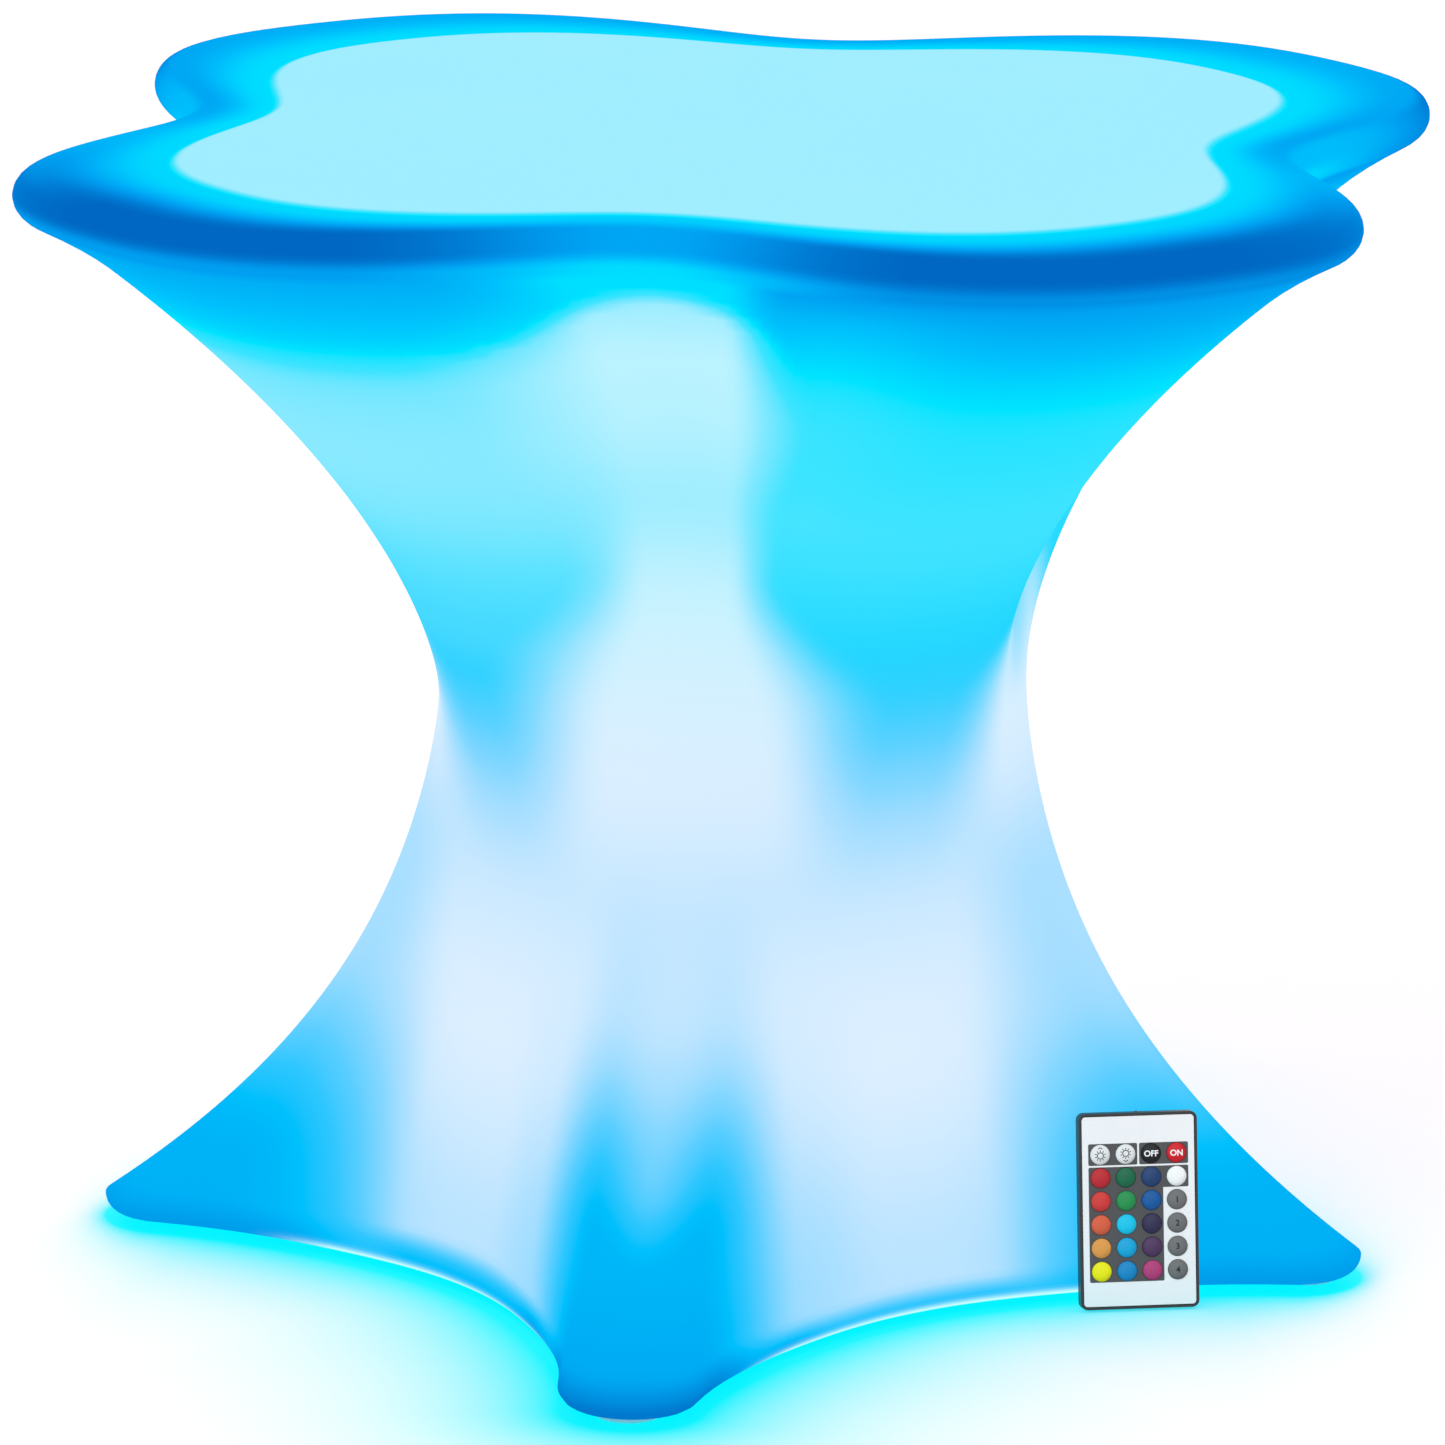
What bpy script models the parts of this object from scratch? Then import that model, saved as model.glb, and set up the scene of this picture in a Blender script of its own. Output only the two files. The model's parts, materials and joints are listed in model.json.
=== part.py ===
# Side table that glows from inside, with its hand-held remote control.
# One hollow moulding on four floor pads, lit by a sealed light unit that is
# screwed into a recess of its underside. Metres, +Z up, origin on the floor
# under the middle of the top. The four feet point along X and Y, and the four
# lobes of the top along the diagonals.

import math

import bmesh
import bpy
from mathutils import Matrix, Vector

# Fits that every piece shares
SEAT_GAP = 0.0003          # between faces that rest on each other
CUT_OVERRUN = 0.002        # how far a cutter passes the face it cuts

# Shell
TOP_HEIGHT = 0.500         # floor to tabletop
SHELL_WALL = 0.004
WAIST_RADIUS = 0.1215
FOOT_REACH = 0.2958        # ridge of a foot, carried down to the floor
FOOT_FLARE_TOP = 0.400     # height where the feet leave the waist
FOOT_SWEEP = 3.45          # how suddenly a foot runs out, as a power
BAY_RADIUS = 0.146         # hem between two feet
BAY_FLARE_TOP = 0.190
BAY_SWEEP = 1.5
NOTCH_RADIUS = 0.2325      # under the rim, over a foot
NOTCH_FLARE_BASE = 0.310
NOTCH_SWEEP = 2.4
LOBE_RADIUS = 0.324        # under the rim, over a bay
LOBE_FLARE_BASE = 0.190
LOBE_SWEEP = 1.95
LIP_REACH = 0.0085         # the outward turn right under the rim
LIP_DEPTH = 0.022
RIM_RADIUS = 0.009         # round edge of the top
RIM_TUCK = math.radians(55)    # how far the round edge turns under
HEM_RADIUS = 0.008         # round edge at the floor
FOOT_TIP_RADIUS = 0.031    # plan of a foot's tip
FOOT_TIP_CENTRE = 0.2555
BAY_ARC_RADIUS = 0.250     # plan of the hem between two feet
HEM_FADE_HEIGHT = 0.0575   # how high the plan of the hem stays star-shaped
HEM_FADE_POWER = 1.5
RIDGE_POWER = 1.25         # how narrow the ridges are at the waist
RIDGE_POWER_RISE = 0.35    # and how much narrower at the top

# Tabletop field: the low plateau that glows brightest
FIELD_LOBE = 0.2615
FIELD_NOTCH = 0.201
FIELD_POWER = 1.32
FIELD_STEP = 0.0015
FIELD_BEVEL = 0.006

# Floor pads
PAD_THICKNESS = 0.0027
PAD_RADIUS = 0.014
PAD_ROUND = 0.0006

# Recess and seat for the light unit in the underside
POCKET_RADIUS = 0.080
POCKET_DEPTH = 0.035
PORT_RADIUS = 0.058
SCREW_CIRCLE = 0.067
SCREW_COUNT = 4
SCREW_TURN = math.radians(45)
SCREW_RADIUS = 0.0020
SCREW_HEAD_RADIUS = 0.0038
SCREW_HEAD_HEIGHT = 0.0024
SCREW_FACE_SHARE = 0.7     # flat middle of a screw's head
SCREW_ROUND_SHARE = 0.5    # part of the head's height that is rounded
SCREW_LENGTH = 0.014
BOSS_RADIUS = 0.0065
BOSS_HEIGHT = 0.013        # above the seat, with a blind bore for the screw
BOSS_ROOF = 0.0025

# Light unit housing
GASKET_THICKNESS = 0.002
GASKET_WIDTH = 0.015
FLANGE_RADIUS = 0.076
FLANGE_THICKNESS = 0.003
CUP_RADIUS = 0.054
CUP_WALL = 0.003
CUP_DROP = 0.0084          # floor of the cup below the flange
CUP_HEIGHT = 0.039
FLANGE_FILLET = 0.0025

# Electrics inside the cup
LED_BOARD_RADIUS = 0.0495
BOARD_THICKNESS = 0.0016
LED_BOARD_LIFT = 0.030     # over the cup's floor
LED_SIZE = 0.005
LED_HEIGHT = 0.0016
LED_RING_RADIUS = 0.034
LED_RING_COUNT = 8
LED_CORE_RADIUS = 0.015
LED_CORE_COUNT = 4
POST_RADIUS = 0.003
POST_CIRCLE = 0.0462
POST_COUNT = 3
POST_TURN = math.radians(90)
STAKE_RADIUS = 0.0012      # pin on each post, melted over the board
STAKE_HEAD = 0.0012
CONTROL_BOARD_WIDTH = 0.048
CONTROL_BOARD_DEPTH = 0.030
CONTROL_BOARD_Y = -0.026
CONTROL_BOARD_LIFT = 0.014
CONTROL_POST_INSET = 0.003
RECEIVER_WIDTH = 0.006
RECEIVER_DEPTH = 0.0048
RECEIVER_HEIGHT = 0.007
RECEIVER_BULGE_SHARE = 0.5     # of half its width, out of its front
CELL_RADIUS = 0.0092
CELL_LENGTH = 0.065
CELL_SPACING = 0.019
CELL_NIPPLE_RADIUS = 0.003
CELL_NIPPLE_HEIGHT = 0.001
CELL_BLOCK_Y = 0.0125
HOLDER_WALL = 0.0015
HOLDER_HEIGHT = 0.016
CHIP_SIZE = 0.009
CHIP_HEIGHT = 0.002
CAPACITOR_RADIUS = 0.004
CAPACITOR_HEIGHT = 0.0095
PLUG_BLOCK_WIDTH = 0.008
PLUG_BLOCK_HEIGHT = 0.005
LEAD_RADIUS = 0.0011
DOME_HEIGHT = 0.026
DOME_WALL = 0.002
DOME_SPIGOT = 0.003

# Power button, charging socket and their neighbours in the cup's floor
CONTROL_X = 0.012
CONTROL_Y = -0.027
BUTTON_RADIUS = 0.008
BUTTON_CLEARANCE = 0.0004
BUTTON_PROUD = 0.0025
BUTTON_DOME_SHARES = ((0.6, 0.1), (0.9, 0.35), (1.0, 0.7))     # of its radius and of its height
BUTTON_COLLAR = 0.0015
BUTTON_TRAVEL = 0.0015
BUTTON_STEM_RADIUS = 0.002
SWITCH_SIZE = 0.012
SWITCH_HEIGHT = 0.0045
PLUNGER_RADIUS = 0.0017
PLUNGER_HEIGHT = 0.0012
SOCKET_RADIUS = 0.0055
SOCKET_LIP_RADIUS = 0.0075
SOCKET_LIP = 0.001
SOCKET_HEIGHT = 0.0115
SOCKET_BORE = 0.0032
SOCKET_PIN = 0.001
SOCKET_FLOOR = 0.0015
NUT_RADIUS = 0.0082
NUT_THICKNESS = 0.0025
PLUG_CAP_RADIUS = 0.0085
PLUG_CAP_THICKNESS = 0.002
PLUG_STUB_RADIUS = 0.0026
PLUG_STUB_HEIGHT = 0.0015
STRAP_WIDTH = 0.005
STRAP_THICKNESS = 0.0012
STRAP_REACH = 0.0145       # socket axis to the strap's anchor
ANCHOR_RADIUS = 0.0017
ANCHOR_HEAD_RADIUS = 0.0028
ANCHOR_HEAD_HEIGHT = 0.0012
LIGHT_PIPE_RADIUS = 0.002
LIGHT_PIPE_COLLAR = 0.001
LIGHT_PIPE_Y = -0.038

# Remote control, in its own frame: X across, Y up its length, Z out of its face
REMOTE_WIDTH = 0.052
REMOTE_LENGTH = 0.085
REMOTE_CORNER = 0.003
REMOTE_WALL = 0.0011
REMOTE_FLOOR = 0.001
FACE_THICKNESS = 0.001
FACE_SINK = 0.0002         # face below the rim of the back
KEY_SPACING = 0.00154      # free width between two keys of a column
KEY_CLEARANCE = 0.00015
KEY_COLLAR = 0.0003
KEY_COLLAR_THICKNESS = 0.0004
KEY_PROUD = 0.0009
KEY_CROWN = 0.0005
KEY_TRAVEL = 0.0004        # a key goes down before it meets the board
KEY_SIDE_MARGIN = 0.009275     # outer columns inside the side edges
KEY_TOP_MARGIN = 0.0178    # first row below the top edge
KEY_FOOT_MARGIN = 0.0165   # last row above the lower edge
KEY_CROWN_SHARE = 0.6      # flat middle of a key's dome
KEY_PLAY = 0.0001          # between the layers under the face
MAT_HOLE_CLEARANCE = 0.00025
REMOTE_BOARD_THICKNESS = 0.0006
REMOTE_BOARD_MARGIN = 0.0004
COIN_RADIUS = 0.010
COIN_THICKNESS = 0.0025
TRAY_WIDTH = 0.024
TRAY_LENGTH = 0.0235
TRAY_THICKNESS = 0.0026
TRAY_PLAY = 0.00015
RAIL_WIDTH = 0.001
EMITTER_RADIUS = 0.0015
EMITTER_LENGTH = 0.0042
EMITTER_PROUD = 0.0006
EMITTER_NOSE_SHARE = 0.6   # rounded end, as a share of its radius
EMITTER_FLAT_SHARE = 0.7

# Where the remote stands: on the floor, leaning on the flank of the +X foot
REMOTE_ALONG_FOOT = 0.186
REMOTE_STANDOFF = 0.011    # its heel from the hem
REMOTE_YAW = math.radians(-72)     # where its face looks, seen from above
REMOTE_REST_GAP = 0.0005

# Facets
ANGLE_STEPS = 7            # in each eighth of a turn of the shell
ANGLE_CROWD = 1.45         # how close together they get at a ridge
FLANK_STEPS = 11
FLANK_CROWD = 1.35
RIM_STEPS = 4
HEM_STEPS = 2
ROUND_STEPS = 24
CUP_STEPS = 24             # the cup and the dome that plugs into it
SMALL_STEPS = 12
MEDIUM_STEPS = 16
SCREW_STEPS = 8
KEY_STEPS = 10
DOME_STEPS = 4
LENS_STEPS = 6
LEAD_STEPS = 4             # between two points of a lead's route
REST_STEPS = 12            # across each facet that the remote may lean on
REST_TRIES = 20

KEY_NAMES = (
    ("brighter", "dimmer", "off", "on"),
    ("red", "green", "blue", "white"),
    ("scarlet", "leaf", "azure", "flash"),
    ("coral", "cyan", "indigo", "strobe"),
    ("amber", "sky", "violet", "fade"),
    ("yellow", "ocean", "magenta", "smooth"),
)
KEY_COLOURS = {
    "brighter": (0.86, 0.86, 0.86), "dimmer": (0.86, 0.86, 0.86),
    "off": (0.02, 0.02, 0.02), "on": (0.72, 0.02, 0.02),
    "red": (0.65, 0.02, 0.03), "green": (0.02, 0.30, 0.08),
    "blue": (0.01, 0.05, 0.40), "white": (0.86, 0.86, 0.86),
    "scarlet": (0.75, 0.05, 0.04), "leaf": (0.02, 0.36, 0.10),
    "azure": (0.01, 0.14, 0.55), "flash": (0.13, 0.13, 0.13),
    "coral": (0.85, 0.15, 0.05), "cyan": (0.01, 0.50, 0.80),
    "indigo": (0.05, 0.03, 0.14), "strobe": (0.13, 0.13, 0.13),
    "amber": (0.90, 0.36, 0.08), "sky": (0.01, 0.36, 0.70),
    "violet": (0.10, 0.03, 0.16), "fade": (0.13, 0.13, 0.13),
    "yellow": (0.95, 0.85, 0.02), "ocean": (0.01, 0.28, 0.66),
    "magenta": (0.62, 0.04, 0.28), "smooth": (0.13, 0.13, 0.13),
}

# Levels of the shell, from the sizes above
SHELL_BOTTOM = PAD_THICKNESS + SEAT_GAP
HEM_LEVEL = SHELL_BOTTOM + HEM_RADIUS
BORDER_LEVEL = TOP_HEIGHT - FIELD_STEP
RIM_LEVEL = BORDER_LEVEL - RIM_RADIUS
FLANK_TOP = RIM_LEVEL - RIM_RADIUS * math.sin(RIM_TUCK)

# Levels of the light unit, from the seat down and from the cup's floor up
SEAT_LEVEL = SHELL_BOTTOM + POCKET_DEPTH
GASKET_TOP = SEAT_LEVEL - SEAT_GAP
GASKET_BOTTOM = GASKET_TOP - GASKET_THICKNESS
FLANGE_TOP = GASKET_BOTTOM - SEAT_GAP
FLANGE_BOTTOM = FLANGE_TOP - FLANGE_THICKNESS
CUP_BOTTOM = FLANGE_BOTTOM - CUP_DROP
CUP_FLOOR = CUP_BOTTOM + CUP_WALL
CUP_RIM = CUP_BOTTOM + CUP_HEIGHT
CUP_BORE = CUP_RADIUS - CUP_WALL
LED_BOARD_BOTTOM = CUP_FLOOR + LED_BOARD_LIFT + SEAT_GAP
LED_BOARD_TOP = LED_BOARD_BOTTOM + BOARD_THICKNESS
CONTROL_BOARD_BOTTOM = CUP_FLOOR + CONTROL_BOARD_LIFT + SEAT_GAP
CONTROL_BOARD_TOP = CONTROL_BOARD_BOTTOM + BOARD_THICKNESS
CELL_FLOOR = CUP_FLOOR + SEAT_GAP + HOLDER_WALL
CELL_AXIS = CELL_FLOOR + SEAT_GAP + CELL_RADIUS
SOCKET_MOUTH = CUP_BOTTOM - SEAT_GAP - SOCKET_LIP
PLUG_TOP = SOCKET_MOUTH - SEAT_GAP
PLUG_BOTTOM = PLUG_TOP - PLUG_CAP_THICKNESS

# Keys, from the margins of the remote's face
KEY_PITCH_X = (REMOTE_WIDTH - 2 * KEY_SIDE_MARGIN) / (len(KEY_NAMES[0]) - 1)
KEY_PITCH_Y = (REMOTE_LENGTH - KEY_TOP_MARGIN - KEY_FOOT_MARGIN) / (len(KEY_NAMES) - 1)
KEY_RADIUS = (min(KEY_PITCH_X, KEY_PITCH_Y) - KEY_SPACING) / 2

# Levels of the remote, from its back to its face
TRAY_BACK = REMOTE_FLOOR + TRAY_PLAY
TRAY_FRONT = TRAY_BACK + TRAY_THICKNESS
REMOTE_BOARD_BACK = TRAY_FRONT + TRAY_PLAY
REMOTE_BOARD_FRONT = REMOTE_BOARD_BACK + REMOTE_BOARD_THICKNESS
MAT_BACK = REMOTE_BOARD_FRONT + KEY_PLAY
MAT_FRONT = MAT_BACK + KEY_COLLAR_THICKNESS + KEY_TRAVEL + KEY_PLAY
FACE_BACK = MAT_FRONT + KEY_PLAY
FACE_FRONT = FACE_BACK + FACE_THICKNESS
REMOTE_DEPTH = FACE_FRONT + FACE_SINK


def clear_scene():
    for thing in list(bpy.data.objects):
        bpy.data.objects.remove(thing, do_unlink=True)


def material(name, colour, roughness=0.5, metallic=0.0, alpha=1.0):
    found = bpy.data.materials.get(name)
    if found:
        return found
    made = bpy.data.materials.new(name)
    made.use_nodes = True
    made.diffuse_color = (*colour, alpha)
    shader = made.node_tree.nodes["Principled BSDF"]
    shader.inputs["Base Color"].default_value = (*colour, 1.0)
    shader.inputs["Roughness"].default_value = roughness
    shader.inputs["Metallic"].default_value = metallic
    shader.inputs["Alpha"].default_value = alpha
    return made


def glowing_plastic():
    made = material("glowing_plastic", (0.0, 0.55, 1.0), 0.38)
    shader = made.node_tree.nodes["Principled BSDF"]
    shader.inputs["Emission Color"].default_value = (0.0, 0.60, 1.0, 1.0)
    shader.inputs["Emission Strength"].default_value = 0.8
    return made


def pad_rubber():
    return material("pad_rubber", (0.60, 0.64, 0.66), 0.6)


def seal_silicone():
    return material("seal_silicone", (0.62, 0.62, 0.60), 0.6)


def white_plastic():
    return material("white_plastic", (0.80, 0.80, 0.79), 0.35)


def black_plastic():
    return material("black_plastic", (0.02, 0.02, 0.022), 0.4)


def frosted_plastic():
    return material("frosted_plastic", (0.85, 0.90, 0.92), 0.5, 0.0, 0.6)


def bright_steel():
    return material("bright_steel", (0.62, 0.62, 0.60), 0.28, 1.0)


def board_green():
    return material("board_green", (0.02, 0.16, 0.07), 0.45)


def board_white():
    return material("board_white", (0.82, 0.84, 0.82), 0.45)


def cell_wrap():
    return material("cell_wrap", (0.03, 0.14, 0.42), 0.3)


def lead_red():
    return material("lead_red", (0.45, 0.02, 0.02), 0.5)


def lamp_yellow():
    return material("lamp_yellow", (0.85, 0.78, 0.45), 0.3)


def clear_lens():
    return material("clear_lens", (0.75, 0.85, 0.95), 0.1, 0.0, 0.6)


def add_object(name, mesh_source, look, parent=None, place=(0.0, 0.0, 0.0)):
    # Faces are turned outwards before the bmesh becomes the object's mesh
    bmesh.ops.recalc_face_normals(mesh_source, faces=mesh_source.faces)
    mesh = bpy.data.meshes.new(name)
    mesh_source.to_mesh(mesh)
    mesh_source.free()
    mesh.shade_smooth()
    mesh.set_sharp_from_angle(angle=math.radians(35))
    made = bpy.data.objects.new(name, mesh)
    made.data.materials.append(look)
    made.location = place
    made.parent = parent
    bpy.context.scene.collection.objects.link(made)
    return made


def add_turned(bm, profile, steps, centre=(0.0, 0.0), axis=(0.0, 0.0, 1.0)):
    # Spins a profile of (radius, height) points round a vertical line
    origin = Vector((centre[0], centre[1], 0.0))
    points = [bm.verts.new(origin + Vector((radius, 0.0, height))) for radius, height in profile]
    closed = profile[0][0] > 0.0
    pairs = list(zip(points, points[1:]))
    if closed:
        pairs.append((points[-1], points[0]))
    edges = [bm.edges.new(pair) for pair in pairs]
    made = bmesh.ops.spin(bm, geom=points + edges, cent=origin, axis=axis, angle=math.tau,
                          steps=steps, use_merge=True, use_duplicate=False)
    bmesh.ops.remove_doubles(bm, verts=bm.verts, dist=SEAT_GAP * 0.01)
    return made


def turned(name, profile, look, steps=ROUND_STEPS, centre=(0.0, 0.0), parent=None,
           place=(0.0, 0.0, 0.0)):
    bm = bmesh.new()
    add_turned(bm, profile, steps, centre)
    return add_object(name, bm, look, parent, place)


def rod_profile(radius, bottom, top):
    return [(0.0, bottom), (radius, bottom), (radius, top), (0.0, top)]


def ring_profile(bore, radius, bottom, top):
    return [(bore, bottom), (radius, bottom), (radius, top), (bore, top)]


def add_block(bm, size, centre):
    made = bmesh.ops.create_cube(bm, size=1.0)
    bmesh.ops.scale(bm, verts=made["verts"], vec=Vector(size))
    bmesh.ops.translate(bm, verts=made["verts"], vec=Vector(centre))


def add_prism(bm, outline, bottom, top):
    # Extrudes a flat outline of (x, y) points from bottom to top
    face = bm.faces.new([bm.verts.new((x, y, bottom)) for x, y in outline])
    made = bmesh.ops.extrude_face_region(bm, geom=[face])
    moved = [item for item in made["geom"] if isinstance(item, bmesh.types.BMVert)]
    bmesh.ops.translate(bm, verts=moved, vec=(0.0, 0.0, top - bottom))


def rounded_outline(width, length, corner, middle=(0.0, 0.0), steps=4):
    # Rectangle with round corners, anticlockwise
    points = []
    for quarter in range(4):
        side_x = 1 if quarter in (0, 3) else -1
        side_y = 1 if quarter in (0, 1) else -1
        for step in range(steps + 1):
            angle = math.tau / 4 * (quarter + step / steps)
            points.append((middle[0] + side_x * (width / 2 - corner) + corner * math.cos(angle),
                           middle[1] + side_y * (length / 2 - corner) + corner * math.sin(angle)))
    return points


def cut(target, name, bm):
    # Takes the solids in bm out of the target
    add_boolean(target, name, bm, "DIFFERENCE")


def fuse(target, name, bm):
    add_boolean(target, name, bm, "UNION")


def add_boolean(target, name, bm, operation):
    tool = add_object(name, bm, target.data.materials[0], target.parent)
    tool.hide_render = True
    tool.display_type = "WIRE"
    change = target.modifiers.new(name, "BOOLEAN")
    change.operation = operation
    change.solver = "EXACT"
    change.object = tool


def around(count, radius, turn=0.0):
    # Places on a circle, as (x, y)
    angles = [turn + math.tau * index / count for index in range(count)]
    return [(radius * math.cos(angle), radius * math.sin(angle)) for angle in angles]


def ridge_radius(height):
    # Half-section over a foot: foot, waist, then the notch between two lobes
    foot = max(0.0, (FOOT_FLARE_TOP - height) / FOOT_FLARE_TOP) ** FOOT_SWEEP
    notch = max(0.0, (height - NOTCH_FLARE_BASE) / (FLANK_TOP - NOTCH_FLARE_BASE)) ** NOTCH_SWEEP
    return (WAIST_RADIUS + (FOOT_REACH - WAIST_RADIUS) * foot
            + (NOTCH_RADIUS - WAIST_RADIUS) * notch + lip(height))


def bay_radius(height):
    # Half-section between two feet: hem, waist, then the lobe of the top
    hem = max(0.0, (BAY_FLARE_TOP - height) / BAY_FLARE_TOP) ** BAY_SWEEP
    lobe = max(0.0, (height - LOBE_FLARE_BASE) / (FLANK_TOP - LOBE_FLARE_BASE)) ** LOBE_SWEEP
    return (WAIST_RADIUS + (BAY_RADIUS - WAIST_RADIUS) * hem
            + (LOBE_RADIUS - WAIST_RADIUS) * lobe + lip(height))


def lip(height):
    return LIP_REACH * max(0.0, (height - FLANK_TOP + LIP_DEPTH) / LIP_DEPTH) ** 2


def hem_plan(fold):
    # Distance to the star-shaped hem; fold is the angle from the nearest foot
    tip_side = FOOT_TIP_CENTRE * math.sin(fold)
    if abs(tip_side) < FOOT_TIP_RADIUS:
        reach = FOOT_TIP_CENTRE * math.cos(fold) + math.sqrt(FOOT_TIP_RADIUS ** 2 - tip_side ** 2)
        if reach * math.cos(fold) > tip_seam():
            return reach
    turn = abs(fold) - math.tau / 8
    centre = bay_arc_centre()
    across = centre * math.sin(turn)
    return centre * math.cos(turn) - math.sqrt(BAY_ARC_RADIUS ** 2 - across ** 2)


def bay_arc_centre():
    # How far out, between two feet, the arc of a bay has its centre so that it
    # meets the round tips of both feet smoothly
    side = FOOT_TIP_CENTRE * math.sin(math.tau / 8)
    return side + math.sqrt((FOOT_TIP_RADIUS + BAY_ARC_RADIUS) ** 2 - side ** 2)


def tip_seam():
    # How far out, along the foot, its round tip meets the arcs of the bays
    beside = bay_arc_centre() * math.sin(math.tau / 8)
    lean = math.atan2(beside, FOOT_TIP_CENTRE - beside)
    return FOOT_TIP_CENTRE - FOOT_TIP_RADIUS * math.cos(lean)


def ridge_share(fold, height):
    # 1 on a ridge and 0 in a bay: star-shaped at the hem, then a soft fold
    wave = (1 + math.cos(4 * fold)) / 2
    soft = wave ** (RIDGE_POWER + RIDGE_POWER_RISE * (height / TOP_HEIGHT) ** 3)
    low = hem_plan(math.tau / 8)
    star = (hem_plan(fold) - low) / (hem_plan(0.0) - low)
    hold = math.exp(-(height / HEM_FADE_HEIGHT) ** HEM_FADE_POWER)
    return soft + (star - soft) * hold


def shell_angles():
    # Angles round the shell, crowded towards the four ridges
    eighth = [math.tau / 8 * (step / ANGLE_STEPS) ** ANGLE_CROWD for step in range(ANGLE_STEPS + 1)]
    quarter = eighth[:-1] + [math.tau / 4 - angle for angle in reversed(eighth[1:])]
    return [math.tau / 4 * turn + angle for turn in range(4) for angle in quarter]


def fold_of(angle):
    return (angle + math.tau / 8) % (math.tau / 4) - math.tau / 8


def flank_outline(height):
    low = bay_radius(height)
    rise = ridge_radius(height) - low
    radii = [low + rise * ridge_share(fold_of(angle), height) for angle in shell_angles()]
    return [Vector((radius * math.cos(angle), radius * math.sin(angle)))
            for radius, angle in zip(radii, shell_angles())]


def field_outline():
    points = []
    for angle in shell_angles():
        wave = (1 + math.cos(4 * fold_of(angle))) / 2
        radius = FIELD_LOBE + (FIELD_NOTCH - FIELD_LOBE) * wave ** FIELD_POWER
        points.append(Vector((radius * math.cos(angle), radius * math.sin(angle))))
    return points


def grown(outline, distance):
    # The outline moved outwards, square to itself, by a distance
    count = len(outline)
    moved = []
    for index, point in enumerate(outline):
        along = (outline[(index + 1) % count] - outline[index - 1]).normalized()
        moved.append(point + Vector((along.y, -along.x)) * distance)
    return moved


def flank_heights():
    span = FLANK_TOP - HEM_LEVEL
    return [HEM_LEVEL + span * (step / FLANK_STEPS) ** FLANK_CROWD for step in range(FLANK_STEPS)]


def shell_rings():
    # Outlines with their heights, from the light unit's port round to the field
    angles = shell_angles()
    port = [Vector((PORT_RADIUS * math.cos(angle), PORT_RADIUS * math.sin(angle))) for angle in angles]
    pocket = [Vector((POCKET_RADIUS * math.cos(angle), POCKET_RADIUS * math.sin(angle)))
              for angle in angles]
    rings = [(port, SEAT_LEVEL), (pocket, SEAT_LEVEL), (pocket, SHELL_BOTTOM)]
    hem = flank_outline(HEM_LEVEL)
    for step in range(HEM_STEPS):
        turn = math.tau / 4 * (1 - step / HEM_STEPS)
        rings.append((grown(hem, HEM_RADIUS * (math.cos(turn) - 1)),
                      HEM_LEVEL - HEM_RADIUS * math.sin(turn)))
    rings += [(flank_outline(height), height) for height in flank_heights()]
    rim = flank_outline(FLANK_TOP)
    for step in range(RIM_STEPS + 1):
        turn = -RIM_TUCK + (RIM_TUCK + math.tau / 4) * step / RIM_STEPS
        rings.append((grown(rim, RIM_RADIUS * (math.cos(turn) - math.cos(RIM_TUCK))),
                      RIM_LEVEL + RIM_RADIUS * math.sin(turn)))
    rings.append((grown(field_outline(), FIELD_BEVEL), BORDER_LEVEL))
    rings.append((field_outline(), TOP_HEIGHT))
    return rings


def make_shell():
    bm = bmesh.new()
    rings = [[bm.verts.new((point.x, point.y, height)) for point in outline]
             for outline, height in shell_rings()]
    for lower, upper in zip(rings, rings[1:]):
        for index in range(len(lower)):
            bm.faces.new((lower[index - 1], lower[index], upper[index], upper[index - 1]))
    middle = bm.verts.new((0.0, 0.0, TOP_HEIGHT))
    for index in range(len(rings[-1])):
        bm.faces.new((rings[-1][index - 1], rings[-1][index], middle))
    shell = add_object("table_shell", bm, glowing_plastic())
    wall = shell.modifiers.new("wall", "SOLIDIFY")
    wall.thickness = SHELL_WALL
    wall.offset = -1.0
    wall.use_even_offset = True
    wall.thickness_clamp = 0.0
    bosses = bmesh.new()
    bores = bmesh.new()
    for place in around(SCREW_COUNT, SCREW_CIRCLE, SCREW_TURN):
        add_turned(bosses, rod_profile(BOSS_RADIUS, SEAT_LEVEL + SHELL_WALL / 2,
                                       SEAT_LEVEL + BOSS_HEIGHT), SCREW_STEPS, place)
        add_turned(bores, rod_profile(SCREW_RADIUS + SEAT_GAP, SEAT_LEVEL - CUT_OVERRUN,
                                      SEAT_LEVEL + BOSS_HEIGHT - BOSS_ROOF), SCREW_STEPS, place)
    fuse(shell, "screw_bosses", bosses)
    cut(shell, "screw_bores", bores)


def make_floor_pads():
    profile = [(0.0, 0.0), (PAD_RADIUS - PAD_ROUND, 0.0), (PAD_RADIUS, PAD_ROUND),
               (PAD_RADIUS, PAD_THICKNESS), (0.0, PAD_THICKNESS)]
    for index, place in enumerate(around(4, FOOT_TIP_CENTRE)):
        turned(f"floor_pad_{index + 1}", profile, pad_rubber(), MEDIUM_STEPS,
               place=(*place, 0.0))


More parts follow.
